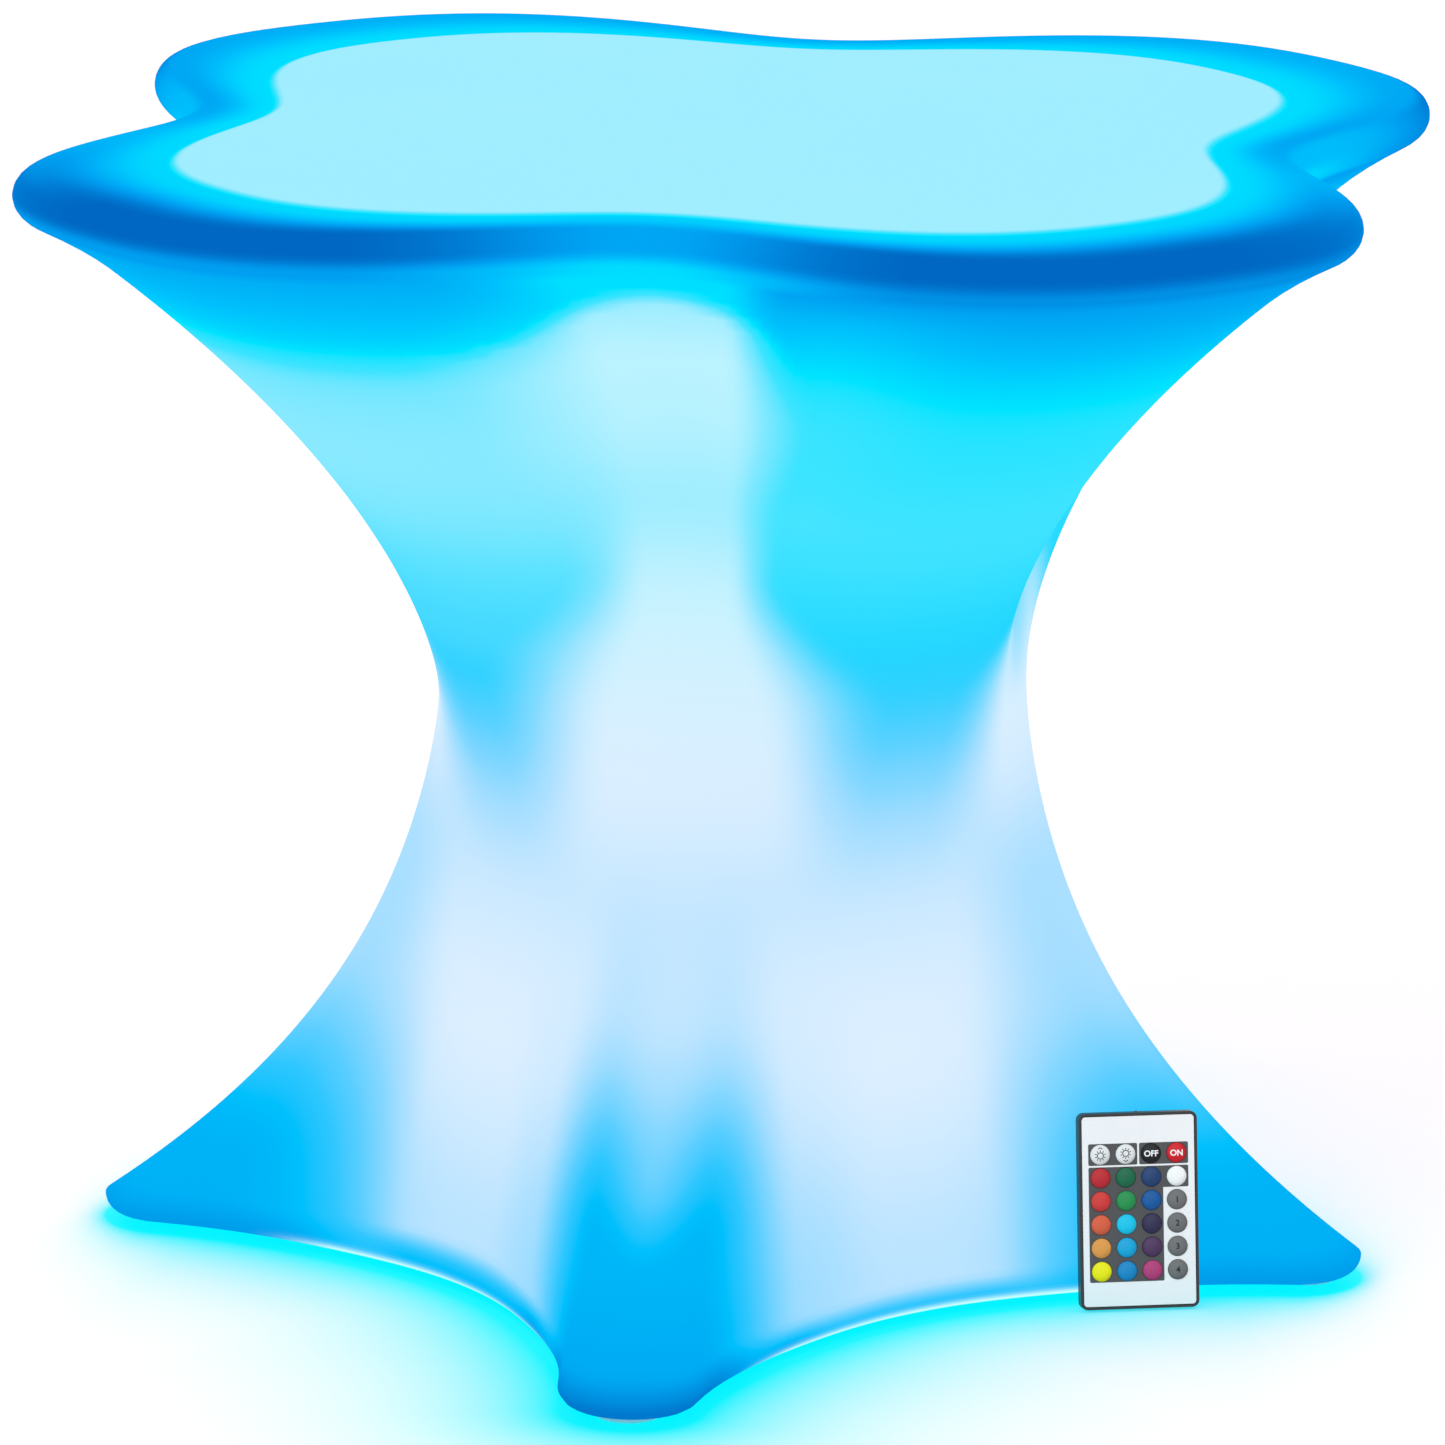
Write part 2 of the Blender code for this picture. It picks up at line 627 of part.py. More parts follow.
def make_housing_screws():
    under = FLANGE_BOTTOM - SEAT_GAP
    low = under - SCREW_HEAD_HEIGHT
    profile = [(0.0, low), (SCREW_HEAD_RADIUS * SCREW_FACE_SHARE, low),
               (SCREW_HEAD_RADIUS, low + SCREW_HEAD_HEIGHT * SCREW_ROUND_SHARE), (SCREW_HEAD_RADIUS, under),
               (SCREW_RADIUS, under), (SCREW_RADIUS, under + SCREW_LENGTH), (0.0, under + SCREW_LENGTH)]
    for index, place in enumerate(around(SCREW_COUNT, SCREW_CIRCLE, SCREW_TURN)):
        turned(f"housing_screw_{index + 1}", profile, bright_steel(), SCREW_STEPS, place)


def make_gasket():
    middle = SCREW_CIRCLE
    gasket = turned("seat_gasket", ring_profile(middle - GASKET_WIDTH / 2, middle + GASKET_WIDTH / 2,
                                                GASKET_BOTTOM, GASKET_TOP), seal_silicone())
    holes = bmesh.new()
    for place in around(SCREW_COUNT, SCREW_CIRCLE, SCREW_TURN):
        add_turned(holes, rod_profile(SCREW_RADIUS + SEAT_GAP, GASKET_BOTTOM - CUT_OVERRUN,
                                      GASKET_TOP + CUT_OVERRUN), SCREW_STEPS, place)
    cut(gasket, "gasket_holes", holes)


def control_posts():
    reach_x = CONTROL_BOARD_WIDTH / 2 - CONTROL_POST_INSET
    reach_y = CONTROL_BOARD_DEPTH / 2 - CONTROL_POST_INSET
    return [(-reach_x, CONTROL_BOARD_Y - reach_y), (reach_x, CONTROL_BOARD_Y + reach_y)]


def make_housing():
    # Cup that hangs through the port, with the flange that seals against the seat
    profile = [(0.0, CUP_BOTTOM), (CUP_RADIUS - CUP_WALL / 2, CUP_BOTTOM),
               (CUP_RADIUS, CUP_BOTTOM + CUP_WALL / 2),
               (CUP_RADIUS, FLANGE_BOTTOM - FLANGE_FILLET), (CUP_RADIUS + FLANGE_FILLET, FLANGE_BOTTOM),
               (FLANGE_RADIUS - FLANGE_THICKNESS / 2, FLANGE_BOTTOM),
               (FLANGE_RADIUS, FLANGE_BOTTOM + FLANGE_THICKNESS / 2), (FLANGE_RADIUS, FLANGE_TOP),
               (CUP_RADIUS, FLANGE_TOP), (CUP_RADIUS, CUP_RIM), (CUP_BORE, CUP_RIM),
               (CUP_BORE, CUP_FLOOR), (0.0, CUP_FLOOR)]
    housing = turned("light_housing", profile, white_plastic(), CUP_STEPS)
    posts = bmesh.new()
    for places, board_bottom in ((around(POST_COUNT, POST_CIRCLE, POST_TURN), LED_BOARD_BOTTOM),
                                 (control_posts(), CONTROL_BOARD_BOTTOM)):
        shoulder = board_bottom - SEAT_GAP
        tip = board_bottom + BOARD_THICKNESS + STAKE_HEAD
        profile = [(0.0, CUP_FLOOR - CUP_WALL / 2), (POST_RADIUS, CUP_FLOOR - CUP_WALL / 2),
                   (POST_RADIUS, shoulder), (STAKE_RADIUS, shoulder), (STAKE_RADIUS, tip), (0.0, tip)]
        for place in places:
            add_turned(posts, profile, SCREW_STEPS, place)
    fuse(housing, "board_posts", posts)
    holes = bmesh.new()
    for place in around(SCREW_COUNT, SCREW_CIRCLE, SCREW_TURN):
        add_turned(holes, rod_profile(SCREW_RADIUS + SEAT_GAP, FLANGE_BOTTOM - CUT_OVERRUN,
                                      FLANGE_TOP + CUT_OVERRUN), SCREW_STEPS, place)
    for radius, place in ((BUTTON_RADIUS + BUTTON_CLEARANCE, (-CONTROL_X, CONTROL_Y)),
                          (SOCKET_RADIUS + SEAT_GAP, (CONTROL_X, CONTROL_Y)),
                          (ANCHOR_RADIUS + SEAT_GAP, (CONTROL_X, CONTROL_Y + STRAP_REACH)),
                          (LIGHT_PIPE_RADIUS + SEAT_GAP, (0.0, LIGHT_PIPE_Y))):
        add_turned(holes, rod_profile(radius, CUP_BOTTOM - CUT_OVERRUN, CUP_FLOOR + CUT_OVERRUN),
                   SMALL_STEPS, place)
    cut(housing, "housing_holes", holes)


def make_lamp_dome():
    # Frosted cap on the cup's rim, with a spigot that goes inside it
    seat = CUP_RIM + SEAT_GAP
    spigot = CUP_BORE - SEAT_GAP
    quarter = [math.tau / 4 * step / DOME_STEPS for step in range(DOME_STEPS + 1)]
    outer = [(CUP_RADIUS * math.cos(turn), seat + DOME_WALL + (DOME_HEIGHT - DOME_WALL) * math.sin(turn))
             for turn in quarter[:-1]]
    inner = [((spigot - DOME_WALL) * math.cos(turn),
              seat + DOME_WALL + (DOME_HEIGHT - 2 * DOME_WALL) * math.sin(turn))
             for turn in reversed(quarter[:-1])]
    profile = ([(0.0, seat + DOME_HEIGHT)] + list(reversed(outer))
               + [(CUP_RADIUS, seat), (spigot, seat), (spigot, seat - DOME_SPIGOT),
                  (spigot - DOME_WALL, seat - DOME_SPIGOT)]
               + list(reversed(inner)) + [(0.0, seat + DOME_HEIGHT - DOME_WALL)])
    turned("lamp_dome", profile, frosted_plastic(), CUP_STEPS)


def make_led_board():
    board = turned("led_board", rod_profile(LED_BOARD_RADIUS, LED_BOARD_BOTTOM, LED_BOARD_TOP),
                   board_white(), ROUND_STEPS)
    holes = bmesh.new()
    for place in around(POST_COUNT, POST_CIRCLE, POST_TURN):
        add_turned(holes, rod_profile(STAKE_RADIUS + SEAT_GAP, LED_BOARD_BOTTOM - CUT_OVERRUN,
                                      LED_BOARD_TOP + CUT_OVERRUN), SCREW_STEPS, place)
    cut(board, "led_board_holes", holes)
    lamps = bmesh.new()
    height = LED_BOARD_TOP - SEAT_GAP + LED_HEIGHT / 2
    half_step = math.pi / LED_RING_COUNT
    for place in (around(LED_RING_COUNT, LED_RING_RADIUS, half_step)
                  + around(LED_CORE_COUNT, LED_CORE_RADIUS)):
        add_block(lamps, (LED_SIZE, LED_SIZE, LED_HEIGHT), (*place, height))
    fuse(board, "soldered_lamps", lamps)


def make_infrared_receiver():
    # Small package with a half-round lens that looks towards -Y
    half = RECEIVER_WIDTH / 2
    bulge = half * RECEIVER_BULGE_SHARE
    turns = [math.pi * step / LENS_STEPS for step in range(LENS_STEPS + 1)]
    lens = [(half * math.cos(turn), -bulge * math.sin(turn)) for turn in turns]
    outline = lens + [(-half, RECEIVER_DEPTH - bulge), (half, RECEIVER_DEPTH - bulge)]
    bm = bmesh.new()
    bottom = LED_BOARD_TOP + SEAT_GAP
    add_prism(bm, outline, bottom, bottom + RECEIVER_HEIGHT)
    add_object("infrared_receiver", bm, black_plastic())


def make_control_board():
    bm = bmesh.new()
    outline = rounded_outline(CONTROL_BOARD_WIDTH, CONTROL_BOARD_DEPTH, CONTROL_POST_INSET / 2,
                              (0.0, CONTROL_BOARD_Y), 2)
    add_prism(bm, outline, CONTROL_BOARD_BOTTOM, CONTROL_BOARD_TOP)
    board = add_object("control_board", bm, board_green())
    holes = bmesh.new()
    for place in control_posts():
        add_turned(holes, rod_profile(STAKE_RADIUS + SEAT_GAP, CONTROL_BOARD_BOTTOM - CUT_OVERRUN,
                                      CONTROL_BOARD_TOP + CUT_OVERRUN), SCREW_STEPS, place)
    cut(board, "control_board_holes", holes)
    parts = bmesh.new()
    base = CONTROL_BOARD_TOP - SEAT_GAP
    add_block(parts, (CHIP_SIZE, CHIP_SIZE, CHIP_HEIGHT), (0.0, CONTROL_BOARD_Y, base + CHIP_HEIGHT / 2))
    add_turned(parts, rod_profile(CAPACITOR_RADIUS, base, base + CAPACITOR_HEIGHT), SMALL_STEPS,
               (CONTROL_X, CONTROL_BOARD_Y))
    for place in lead_blocks():
        add_block(parts, (PLUG_BLOCK_WIDTH, PLUG_BLOCK_WIDTH / 2, PLUG_BLOCK_HEIGHT),
                  (*place, base + PLUG_BLOCK_HEIGHT / 2))
    fuse(board, "soldered_parts", parts)


def lead_blocks():
    # Where the two leads are plugged into the control board
    row = CONTROL_BOARD_Y + CONTROL_BOARD_DEPTH / 2 - PLUG_BLOCK_WIDTH / 2
    return [(-CONTROL_X, row), (0.0, CONTROL_BOARD_Y - CONTROL_BOARD_DEPTH / 2 + PLUG_BLOCK_WIDTH / 2)]


def make_battery():
    # Two cells side by side along X, in an open tray with end walls
    half = CELL_LENGTH / 2
    profile = [(0.0, -half), (CELL_RADIUS, -half), (CELL_RADIUS, half - CELL_NIPPLE_HEIGHT),
               (CELL_NIPPLE_RADIUS, half - CELL_NIPPLE_HEIGHT), (CELL_NIPPLE_RADIUS, half), (0.0, half)]
    for index, side in enumerate((-1, 1)):
        bm = bmesh.new()
        add_turned(bm, profile, MEDIUM_STEPS)
        bmesh.ops.rotate(bm, verts=bm.verts, cent=(0.0, 0.0, 0.0),
                         matrix=Matrix.Rotation(math.tau / 4, 3, "Y"))
        add_object(f"battery_cell_{index + 1}", bm, cell_wrap(),
                   place=(0.0, CELL_BLOCK_Y + side * CELL_SPACING / 2, CELL_AXIS))
    inside = half + SEAT_GAP
    outside = inside + HOLDER_WALL
    floor = CUP_FLOOR + SEAT_GAP
    wide = CELL_SPACING / 2 + CELL_RADIUS
    outline = [(-outside, floor), (outside, floor), (outside, floor + HOLDER_HEIGHT),
               (inside, floor + HOLDER_HEIGHT), (inside, CELL_FLOOR), (-inside, CELL_FLOOR),
               (-inside, floor + HOLDER_HEIGHT), (-outside, floor + HOLDER_HEIGHT)]
    bm = bmesh.new()
    add_prism(bm, outline, -wide, wide)
    # The profile was drawn flat; stand it up so that it runs along Y
    bmesh.ops.rotate(bm, verts=bm.verts, cent=(0.0, 0.0, 0.0),
                     matrix=Matrix.Rotation(math.tau / 4, 3, "X"))
    bmesh.ops.translate(bm, verts=bm.verts, vec=(0.0, CELL_BLOCK_Y, 0.0))
    add_object("battery_holder", bm, black_plastic())


def make_lead(name, route):
    # Round lead along a smooth curve through its route
    points = []
    ghost = [2 * route[0] - route[1]] + route + [2 * route[-1] - route[-2]]
    for index in range(1, len(ghost) - 2):
        before, start, end, after = ghost[index - 1:index + 3]
        for step in range(LEAD_STEPS):
            share = step / LEAD_STEPS
            points.append(0.5 * (2 * start + (end - before) * share
                                 + (2 * before - 5 * start + 4 * end - after) * share ** 2
                                 + (3 * start - before - 3 * end + after) * share ** 3))
    points.append(route[-1])
    curve = bpy.data.curves.new(name, "CURVE")
    curve.dimensions = "3D"
    curve.bevel_depth = LEAD_RADIUS
    curve.bevel_resolution = 1
    curve.use_fill_caps = True
    spline = curve.splines.new("POLY")
    spline.points.add(len(points) - 1)
    for slot, point in zip(spline.points, points):
        slot.co = (*point, 1.0)
    curve.materials.append(lead_red())
    made = bpy.data.objects.new(name, curve)
    bpy.context.scene.collection.objects.link(made)


def make_leads():
    block_top = CONTROL_BOARD_TOP + PLUG_BLOCK_HEIGHT
    rise = LEAD_RADIUS * 3
    battery_block, led_block = lead_blocks()
    holder_end = -(CELL_LENGTH / 2 + SEAT_GAP + HOLDER_WALL + LEAD_RADIUS / 2)
    contact = Vector((holder_end, CELL_BLOCK_Y - CELL_SPACING / 2, CELL_AXIS))
    plugged = Vector((*battery_block, block_top))
    make_lead("battery_lead", [contact, contact + Vector((-rise, 0.0, 0.0)),
                               Vector((contact.x - rise, plugged.y, plugged.z + rise)),
                               plugged + Vector((-rise, 0.0, rise * 2)),
                               plugged + Vector((0.0, 0.0, rise)), plugged])
    start = Vector((*led_block, block_top))
    make_lead("led_lead", [start, start + Vector((0.0, 0.0, rise / 2)),
                           Vector((start.x, start.y, LED_BOARD_BOTTOM - rise / 2)),
                           Vector((start.x, start.y, LED_BOARD_BOTTOM - SEAT_GAP))])


def make_power_button():
    collar_low = CUP_FLOOR + SEAT_GAP
    collar_top = collar_low + BUTTON_COLLAR
    low = CUP_BOTTOM - BUTTON_PROUD
    stem_top = plunger_tip() - SEAT_GAP - BUTTON_TRAVEL
    dome = [(BUTTON_RADIUS * out, low + BUTTON_PROUD * up) for out, up in BUTTON_DOME_SHARES]
    profile = [(0.0, low), *dome, (BUTTON_RADIUS, collar_low), (BUTTON_RADIUS + BUTTON_COLLAR, collar_low),
               (BUTTON_RADIUS + BUTTON_COLLAR, collar_top), (BUTTON_STEM_RADIUS, collar_top),
               (BUTTON_STEM_RADIUS, stem_top), (0.0, stem_top)]
    level = [(radius, height - CUP_BOTTOM) for radius, height in profile]
    turned("power_button", level, black_plastic(), SMALL_STEPS,
           place=(-CONTROL_X, CONTROL_Y, CUP_BOTTOM))


def plunger_tip():
    return CONTROL_BOARD_BOTTOM - SEAT_GAP - SWITCH_HEIGHT - PLUNGER_HEIGHT


def make_power_switch():
    bm = bmesh.new()
    top = CONTROL_BOARD_BOTTOM - SEAT_GAP
    add_block(bm, (SWITCH_SIZE, SWITCH_SIZE, SWITCH_HEIGHT),
              (-CONTROL_X, CONTROL_Y, top - SWITCH_HEIGHT / 2))
    switch = add_object("power_switch", bm, black_plastic())
    plunger = bmesh.new()
    add_turned(plunger, rod_profile(PLUNGER_RADIUS, plunger_tip(), top - SWITCH_HEIGHT / 2),
               SMALL_STEPS, (-CONTROL_X, CONTROL_Y))
    fuse(switch, "plunger", plunger)


def make_charging_socket():
    # Threaded barrel with a lip outside, a blind bore and its centre pin
    top = SOCKET_MOUTH + SOCKET_HEIGHT
    bore_top = top - SOCKET_FLOOR
    pin_tip = SOCKET_MOUTH + SOCKET_LIP + PLUG_STUB_HEIGHT
    profile = [(0.0, pin_tip), (SOCKET_PIN, pin_tip), (SOCKET_PIN, bore_top), (SOCKET_BORE, bore_top),
               (SOCKET_BORE, SOCKET_MOUTH), (SOCKET_LIP_RADIUS, SOCKET_MOUTH),
               (SOCKET_LIP_RADIUS, SOCKET_MOUTH + SOCKET_LIP), (SOCKET_RADIUS, SOCKET_MOUTH + SOCKET_LIP),
               (SOCKET_RADIUS, top), (0.0, top)]
    turned("charging_socket", profile, black_plastic(), MEDIUM_STEPS, (CONTROL_X, CONTROL_Y))
    nut_low = CUP_FLOOR + SEAT_GAP
    place = (CONTROL_X, CONTROL_Y)
    bm = bmesh.new()
    corners = [(place[0] + x, place[1] + y) for x, y in around(6, NUT_RADIUS)]
    add_prism(bm, corners, nut_low, nut_low + NUT_THICKNESS)
    nut = add_object("socket_nut", bm, bright_steel())
    bore = bmesh.new()
    add_turned(bore, rod_profile(SOCKET_RADIUS + SEAT_GAP, nut_low - CUT_OVERRUN,
                                 nut_low + NUT_THICKNESS + CUT_OVERRUN), MEDIUM_STEPS, place)
    cut(nut, "nut_bore", bore)


def hinge_y():
    # The plug bends at the edge of its cap
    return CONTROL_Y + PLUG_CAP_RADIUS + STRAP_THICKNESS


def make_port_plug():
    # Rubber cap over the socket; its origin is on the bend of its strap
    stub = PLUG_TOP + SEAT_GAP + PLUG_STUB_HEIGHT
    profile = [(0.0, PLUG_BOTTOM), (PLUG_CAP_RADIUS - PLUG_CAP_THICKNESS / 2, PLUG_BOTTOM),
               (PLUG_CAP_RADIUS, PLUG_BOTTOM + PLUG_CAP_THICKNESS / 2), (PLUG_CAP_RADIUS, PLUG_TOP),
               (PLUG_STUB_RADIUS, PLUG_TOP), (PLUG_STUB_RADIUS, stub), (0.0, stub)]
    axis = Vector((CONTROL_X, hinge_y(), PLUG_TOP - STRAP_THICKNESS))
    level = [(radius, height - axis.z) for radius, height in profile]
    plug = turned("port_plug", level, pad_rubber(), MEDIUM_STEPS, (0.0, CONTROL_Y - axis.y),
                  place=axis)
    ear = bmesh.new()
    reach = PLUG_CAP_RADIUS / 2 + STRAP_THICKNESS - SEAT_GAP
    add_block(ear, (STRAP_WIDTH, reach, STRAP_THICKNESS),
              (0.0, -SEAT_GAP - reach / 2, STRAP_THICKNESS / 2))
    fuse_local(plug, "plug_ear", ear)


def fuse_local(target, name, bm):
    # Union with a piece drawn in the target's own frame
    fuse(target, name, bm)
    bpy.data.objects[name].location = target.location


def make_plug_strap():
    anchor = CONTROL_Y + STRAP_REACH
    near = hinge_y() + SEAT_GAP
    far = anchor + STRAP_WIDTH / 2
    bm = bmesh.new()
    add_block(bm, (STRAP_WIDTH, far - near, STRAP_THICKNESS),
              (CONTROL_X, (far + near) / 2, PLUG_TOP - STRAP_THICKNESS / 2))
    strap = add_object("plug_strap", bm, pad_rubber())
    rivet = bmesh.new()
    root = PLUG_TOP - STRAP_THICKNESS / 2
    head = CUP_FLOOR + SEAT_GAP
    profile = [(0.0, root), (ANCHOR_RADIUS, root), (ANCHOR_RADIUS, head), (ANCHOR_HEAD_RADIUS, head),
               (ANCHOR_RADIUS, head + ANCHOR_HEAD_HEIGHT), (0.0, head + ANCHOR_HEAD_HEIGHT)]
    add_turned(rivet, profile, SMALL_STEPS, (CONTROL_X, anchor))
    fuse(strap, "strap_rivet", rivet)


def make_charge_light():
    low = CUP_BOTTOM - LIGHT_PIPE_COLLAR / 2
    collar = CUP_FLOOR + SEAT_GAP
    profile = [(0.0, low), (LIGHT_PIPE_RADIUS, low), (LIGHT_PIPE_RADIUS, collar),
               (LIGHT_PIPE_RADIUS + LIGHT_PIPE_COLLAR, collar),
               (LIGHT_PIPE_RADIUS + LIGHT_PIPE_COLLAR, collar + LIGHT_PIPE_COLLAR),
               (0.0, collar + LIGHT_PIPE_COLLAR)]
    turned("charge_light", profile, clear_lens(), SMALL_STEPS, (0.0, LIGHT_PIPE_Y))


def key_places():
    # Centre of each key in the remote's frame, with the key's name
    for row, names in enumerate(KEY_NAMES):
        for column, name in enumerate(names):
            across = (column - (len(names) - 1) / 2) * KEY_PITCH_X
            yield name, (across, REMOTE_LENGTH - KEY_TOP_MARGIN - row * KEY_PITCH_Y)


def remote_matrix(lean):
    # Frame of the remote: heel on the floor, leaning back towards the foot
    face = Vector((math.cos(lean) * math.cos(REMOTE_YAW), math.cos(lean) * math.sin(REMOTE_YAW),
                   math.sin(lean)))
    level = Vector((-math.sin(REMOTE_YAW), math.cos(REMOTE_YAW), 0.0))
    up = face.cross(level)
    turn = Matrix((level, up, face)).transposed().to_4x4()
    out = Vector((math.cos(REMOTE_YAW), math.sin(REMOTE_YAW), 0.0))
    return Matrix.Translation(remote_heel() + out * REMOTE_STANDOFF) @ turn


def remote_heel():
    # Point of the hem beside the foot at the chosen distance from the middle
    hem = [point for point in flank_outline(HEM_LEVEL) if point.y < 0.0 < point.x]
    hem.sort(key=lambda point: -point.x)
    for outer, inner in zip(hem, hem[1:]):
        if outer.x >= REMOTE_ALONG_FOOT > inner.x:
            share = (outer.x - REMOTE_ALONG_FOOT) / (outer.x - inner.x)
            found = outer.lerp(inner, share)
            return Vector((found.x, found.y, 0.0))
    return Vector((REMOTE_ALONG_FOOT, -FOOT_TIP_RADIUS, 0.0))


def flank_samples():
    # Points all over the flank facets of the +X foot, on its -Y side
    rings = [(outline, height) for outline, height in shell_rings()[3:3 + HEM_STEPS + FLANK_STEPS]]
    for (low, low_height), (high, high_height) in zip(rings, rings[1:]):
        if low_height > REMOTE_LENGTH:
            return
        for index in range(-2 * ANGLE_STEPS, 2):
            for step_up in range(REST_STEPS):
                for step_round in range(REST_STEPS):
                    up = step_up / REST_STEPS
                    side = step_round / REST_STEPS
                    first = low[index].lerp(high[index], up)
                    second = low[index + 1].lerp(high[index + 1], up)
                    place = first.lerp(second, side)
                    yield Vector((place.x, place.y, low_height + (high_height - low_height) * up))


def remote_lean():
    # The lean at which the back of the remote comes to rest on the flank
    samples = list(flank_samples())
    upright, flat = 0.0, math.tau / 6
    for _ in range(REST_TRIES):
        lean = (upright + flat) / 2
        inverse = remote_matrix(lean).inverted()
        local = [inverse @ sample for sample in samples]
        behind = [-point.z for point in local
                  if abs(point.x) < REMOTE_WIDTH / 2 and 0.0 < point.y < REMOTE_LENGTH]
        if min(behind) > REMOTE_REST_GAP:
            upright = lean
        else:
            flat = lean
    return upright


def make_remote_frame():
    frame = bpy.data.objects.new("remote_frame", None)
    frame.matrix_world = remote_matrix(remote_lean())
    bpy.context.scene.collection.objects.link(frame)
    return frame


def make_remote_back(frame):
    middle = (0.0, REMOTE_LENGTH / 2)
    bm = bmesh.new()
    add_prism(bm, rounded_outline(REMOTE_WIDTH, REMOTE_LENGTH, REMOTE_CORNER, middle), 0.0, REMOTE_DEPTH)
    back = add_object("remote_back", bm, black_plastic(), frame)
    hollow = bmesh.new()
    add_prism(hollow, rounded_outline(REMOTE_WIDTH - 2 * REMOTE_WALL, REMOTE_LENGTH - 2 * REMOTE_WALL,
                                      REMOTE_CORNER - REMOTE_WALL, middle),
              REMOTE_FLOOR, REMOTE_DEPTH + CUT_OVERRUN)
    cut(back, "remote_hollow", hollow)
    rails = bmesh.new()
    for side in (-1, 1):
        add_block(rails, (RAIL_WIDTH, TRAY_LENGTH, TRAY_THICKNESS + REMOTE_FLOOR / 2),
                  (side * (TRAY_WIDTH / 2 + SEAT_GAP + RAIL_WIDTH / 2), REMOTE_WALL / 2 + TRAY_LENGTH / 2,
                   (REMOTE_FLOOR / 2 + REMOTE_FLOOR + TRAY_THICKNESS) / 2))
    fuse(back, "tray_rails", rails)
    openings = bmesh.new()
    add_block(openings, (TRAY_WIDTH + 2 * SEAT_GAP, 2 * REMOTE_WALL + 2 * CUT_OVERRUN,
                         TRAY_THICKNESS + 2 * TRAY_PLAY),
              (0.0, REMOTE_WALL / 2, (TRAY_BACK + TRAY_FRONT) / 2))
    before = set(openings.verts)
    add_turned(openings, rod_profile(EMITTER_RADIUS + SEAT_GAP, -CUT_OVERRUN, REMOTE_WALL + CUT_OVERRUN),
               SMALL_STEPS)
    lay_along(openings, before, (0.0, REMOTE_LENGTH - REMOTE_WALL, emitter_level()))
    cut(back, "remote_openings", openings)


def lay_along(bm, before, place):
    # Turns what was added since before from Z to +Y and moves it
    fresh = [vert for vert in bm.verts if vert not in before]
    bmesh.ops.rotate(bm, verts=fresh, cent=(0.0, 0.0, 0.0), matrix=Matrix.Rotation(-math.tau / 4, 3, "X"))
    bmesh.ops.translate(bm, verts=fresh, vec=place)


def emitter_level():
    return REMOTE_FLOOR + SEAT_GAP + EMITTER_RADIUS


def make_pierced_sheet(frame, name, look, gap, back, front, hole):
    # Sheet inside the rim of the remote, pierced for every key
    inside = 2 * (REMOTE_WALL + gap)
    bm = bmesh.new()
    add_prism(bm, rounded_outline(REMOTE_WIDTH - inside, REMOTE_LENGTH - inside,
                                  REMOTE_CORNER - REMOTE_WALL - gap, (0.0, REMOTE_LENGTH / 2), 3),
              back, front)
    sheet = add_object(name, bm, look, frame)
    holes = bmesh.new()
    for _, place in key_places():
        add_turned(holes, rod_profile(hole, back - CUT_OVERRUN, front + CUT_OVERRUN), KEY_STEPS, place)
    cut(sheet, name + "_holes", holes)


def make_keys(frame):
    rest = FACE_BACK - KEY_PLAY
    top = FACE_FRONT + KEY_PROUD
    profile = [(0.0, rest - KEY_COLLAR_THICKNESS), (KEY_RADIUS + KEY_COLLAR, rest - KEY_COLLAR_THICKNESS),
               (KEY_RADIUS + KEY_COLLAR, rest), (KEY_RADIUS, rest), (KEY_RADIUS, top - KEY_CROWN),
               (KEY_RADIUS * KEY_CROWN_SHARE, top), (0.0, top)]
    level = [(radius, height - rest) for radius, height in profile]
    for name, place in key_places():
        look = material("key_" + name, KEY_COLOURS[name], 0.25)
        turned("key_" + name, level, look, KEY_STEPS, parent=frame, place=(*place, rest))


def make_remote_board(frame):
    gap = REMOTE_WALL + REMOTE_BOARD_MARGIN
    bottom = gap + EMITTER_RADIUS
    top = REMOTE_LENGTH - REMOTE_WALL - EMITTER_LENGTH
    bm = bmesh.new()
    add_prism(bm, rounded_outline(REMOTE_WIDTH - 2 * gap, top - bottom, REMOTE_CORNER / 2,
                                  (0.0, (top + bottom) / 2), 2), REMOTE_BOARD_BACK, REMOTE_BOARD_FRONT)
    add_object("remote_board", bm, board_green(), frame)


def make_emitter(frame):
    # Infrared lamp that looks out of the remote's top edge
    bm = bmesh.new()
    length = EMITTER_LENGTH + EMITTER_PROUD
    nose = EMITTER_RADIUS * EMITTER_NOSE_SHARE
    profile = [(0.0, 0.0), (EMITTER_RADIUS, 0.0), (EMITTER_RADIUS, length - nose),
               (EMITTER_RADIUS * EMITTER_FLAT_SHARE, length - nose * (1 - EMITTER_FLAT_SHARE)),
               (0.0, length)]
    add_turned(bm, profile, SMALL_STEPS)
    lay_along(bm, set(), (0.0, REMOTE_LENGTH - EMITTER_LENGTH, emitter_level()))
    add_object("infrared_emitter", bm, clear_lens(), frame)


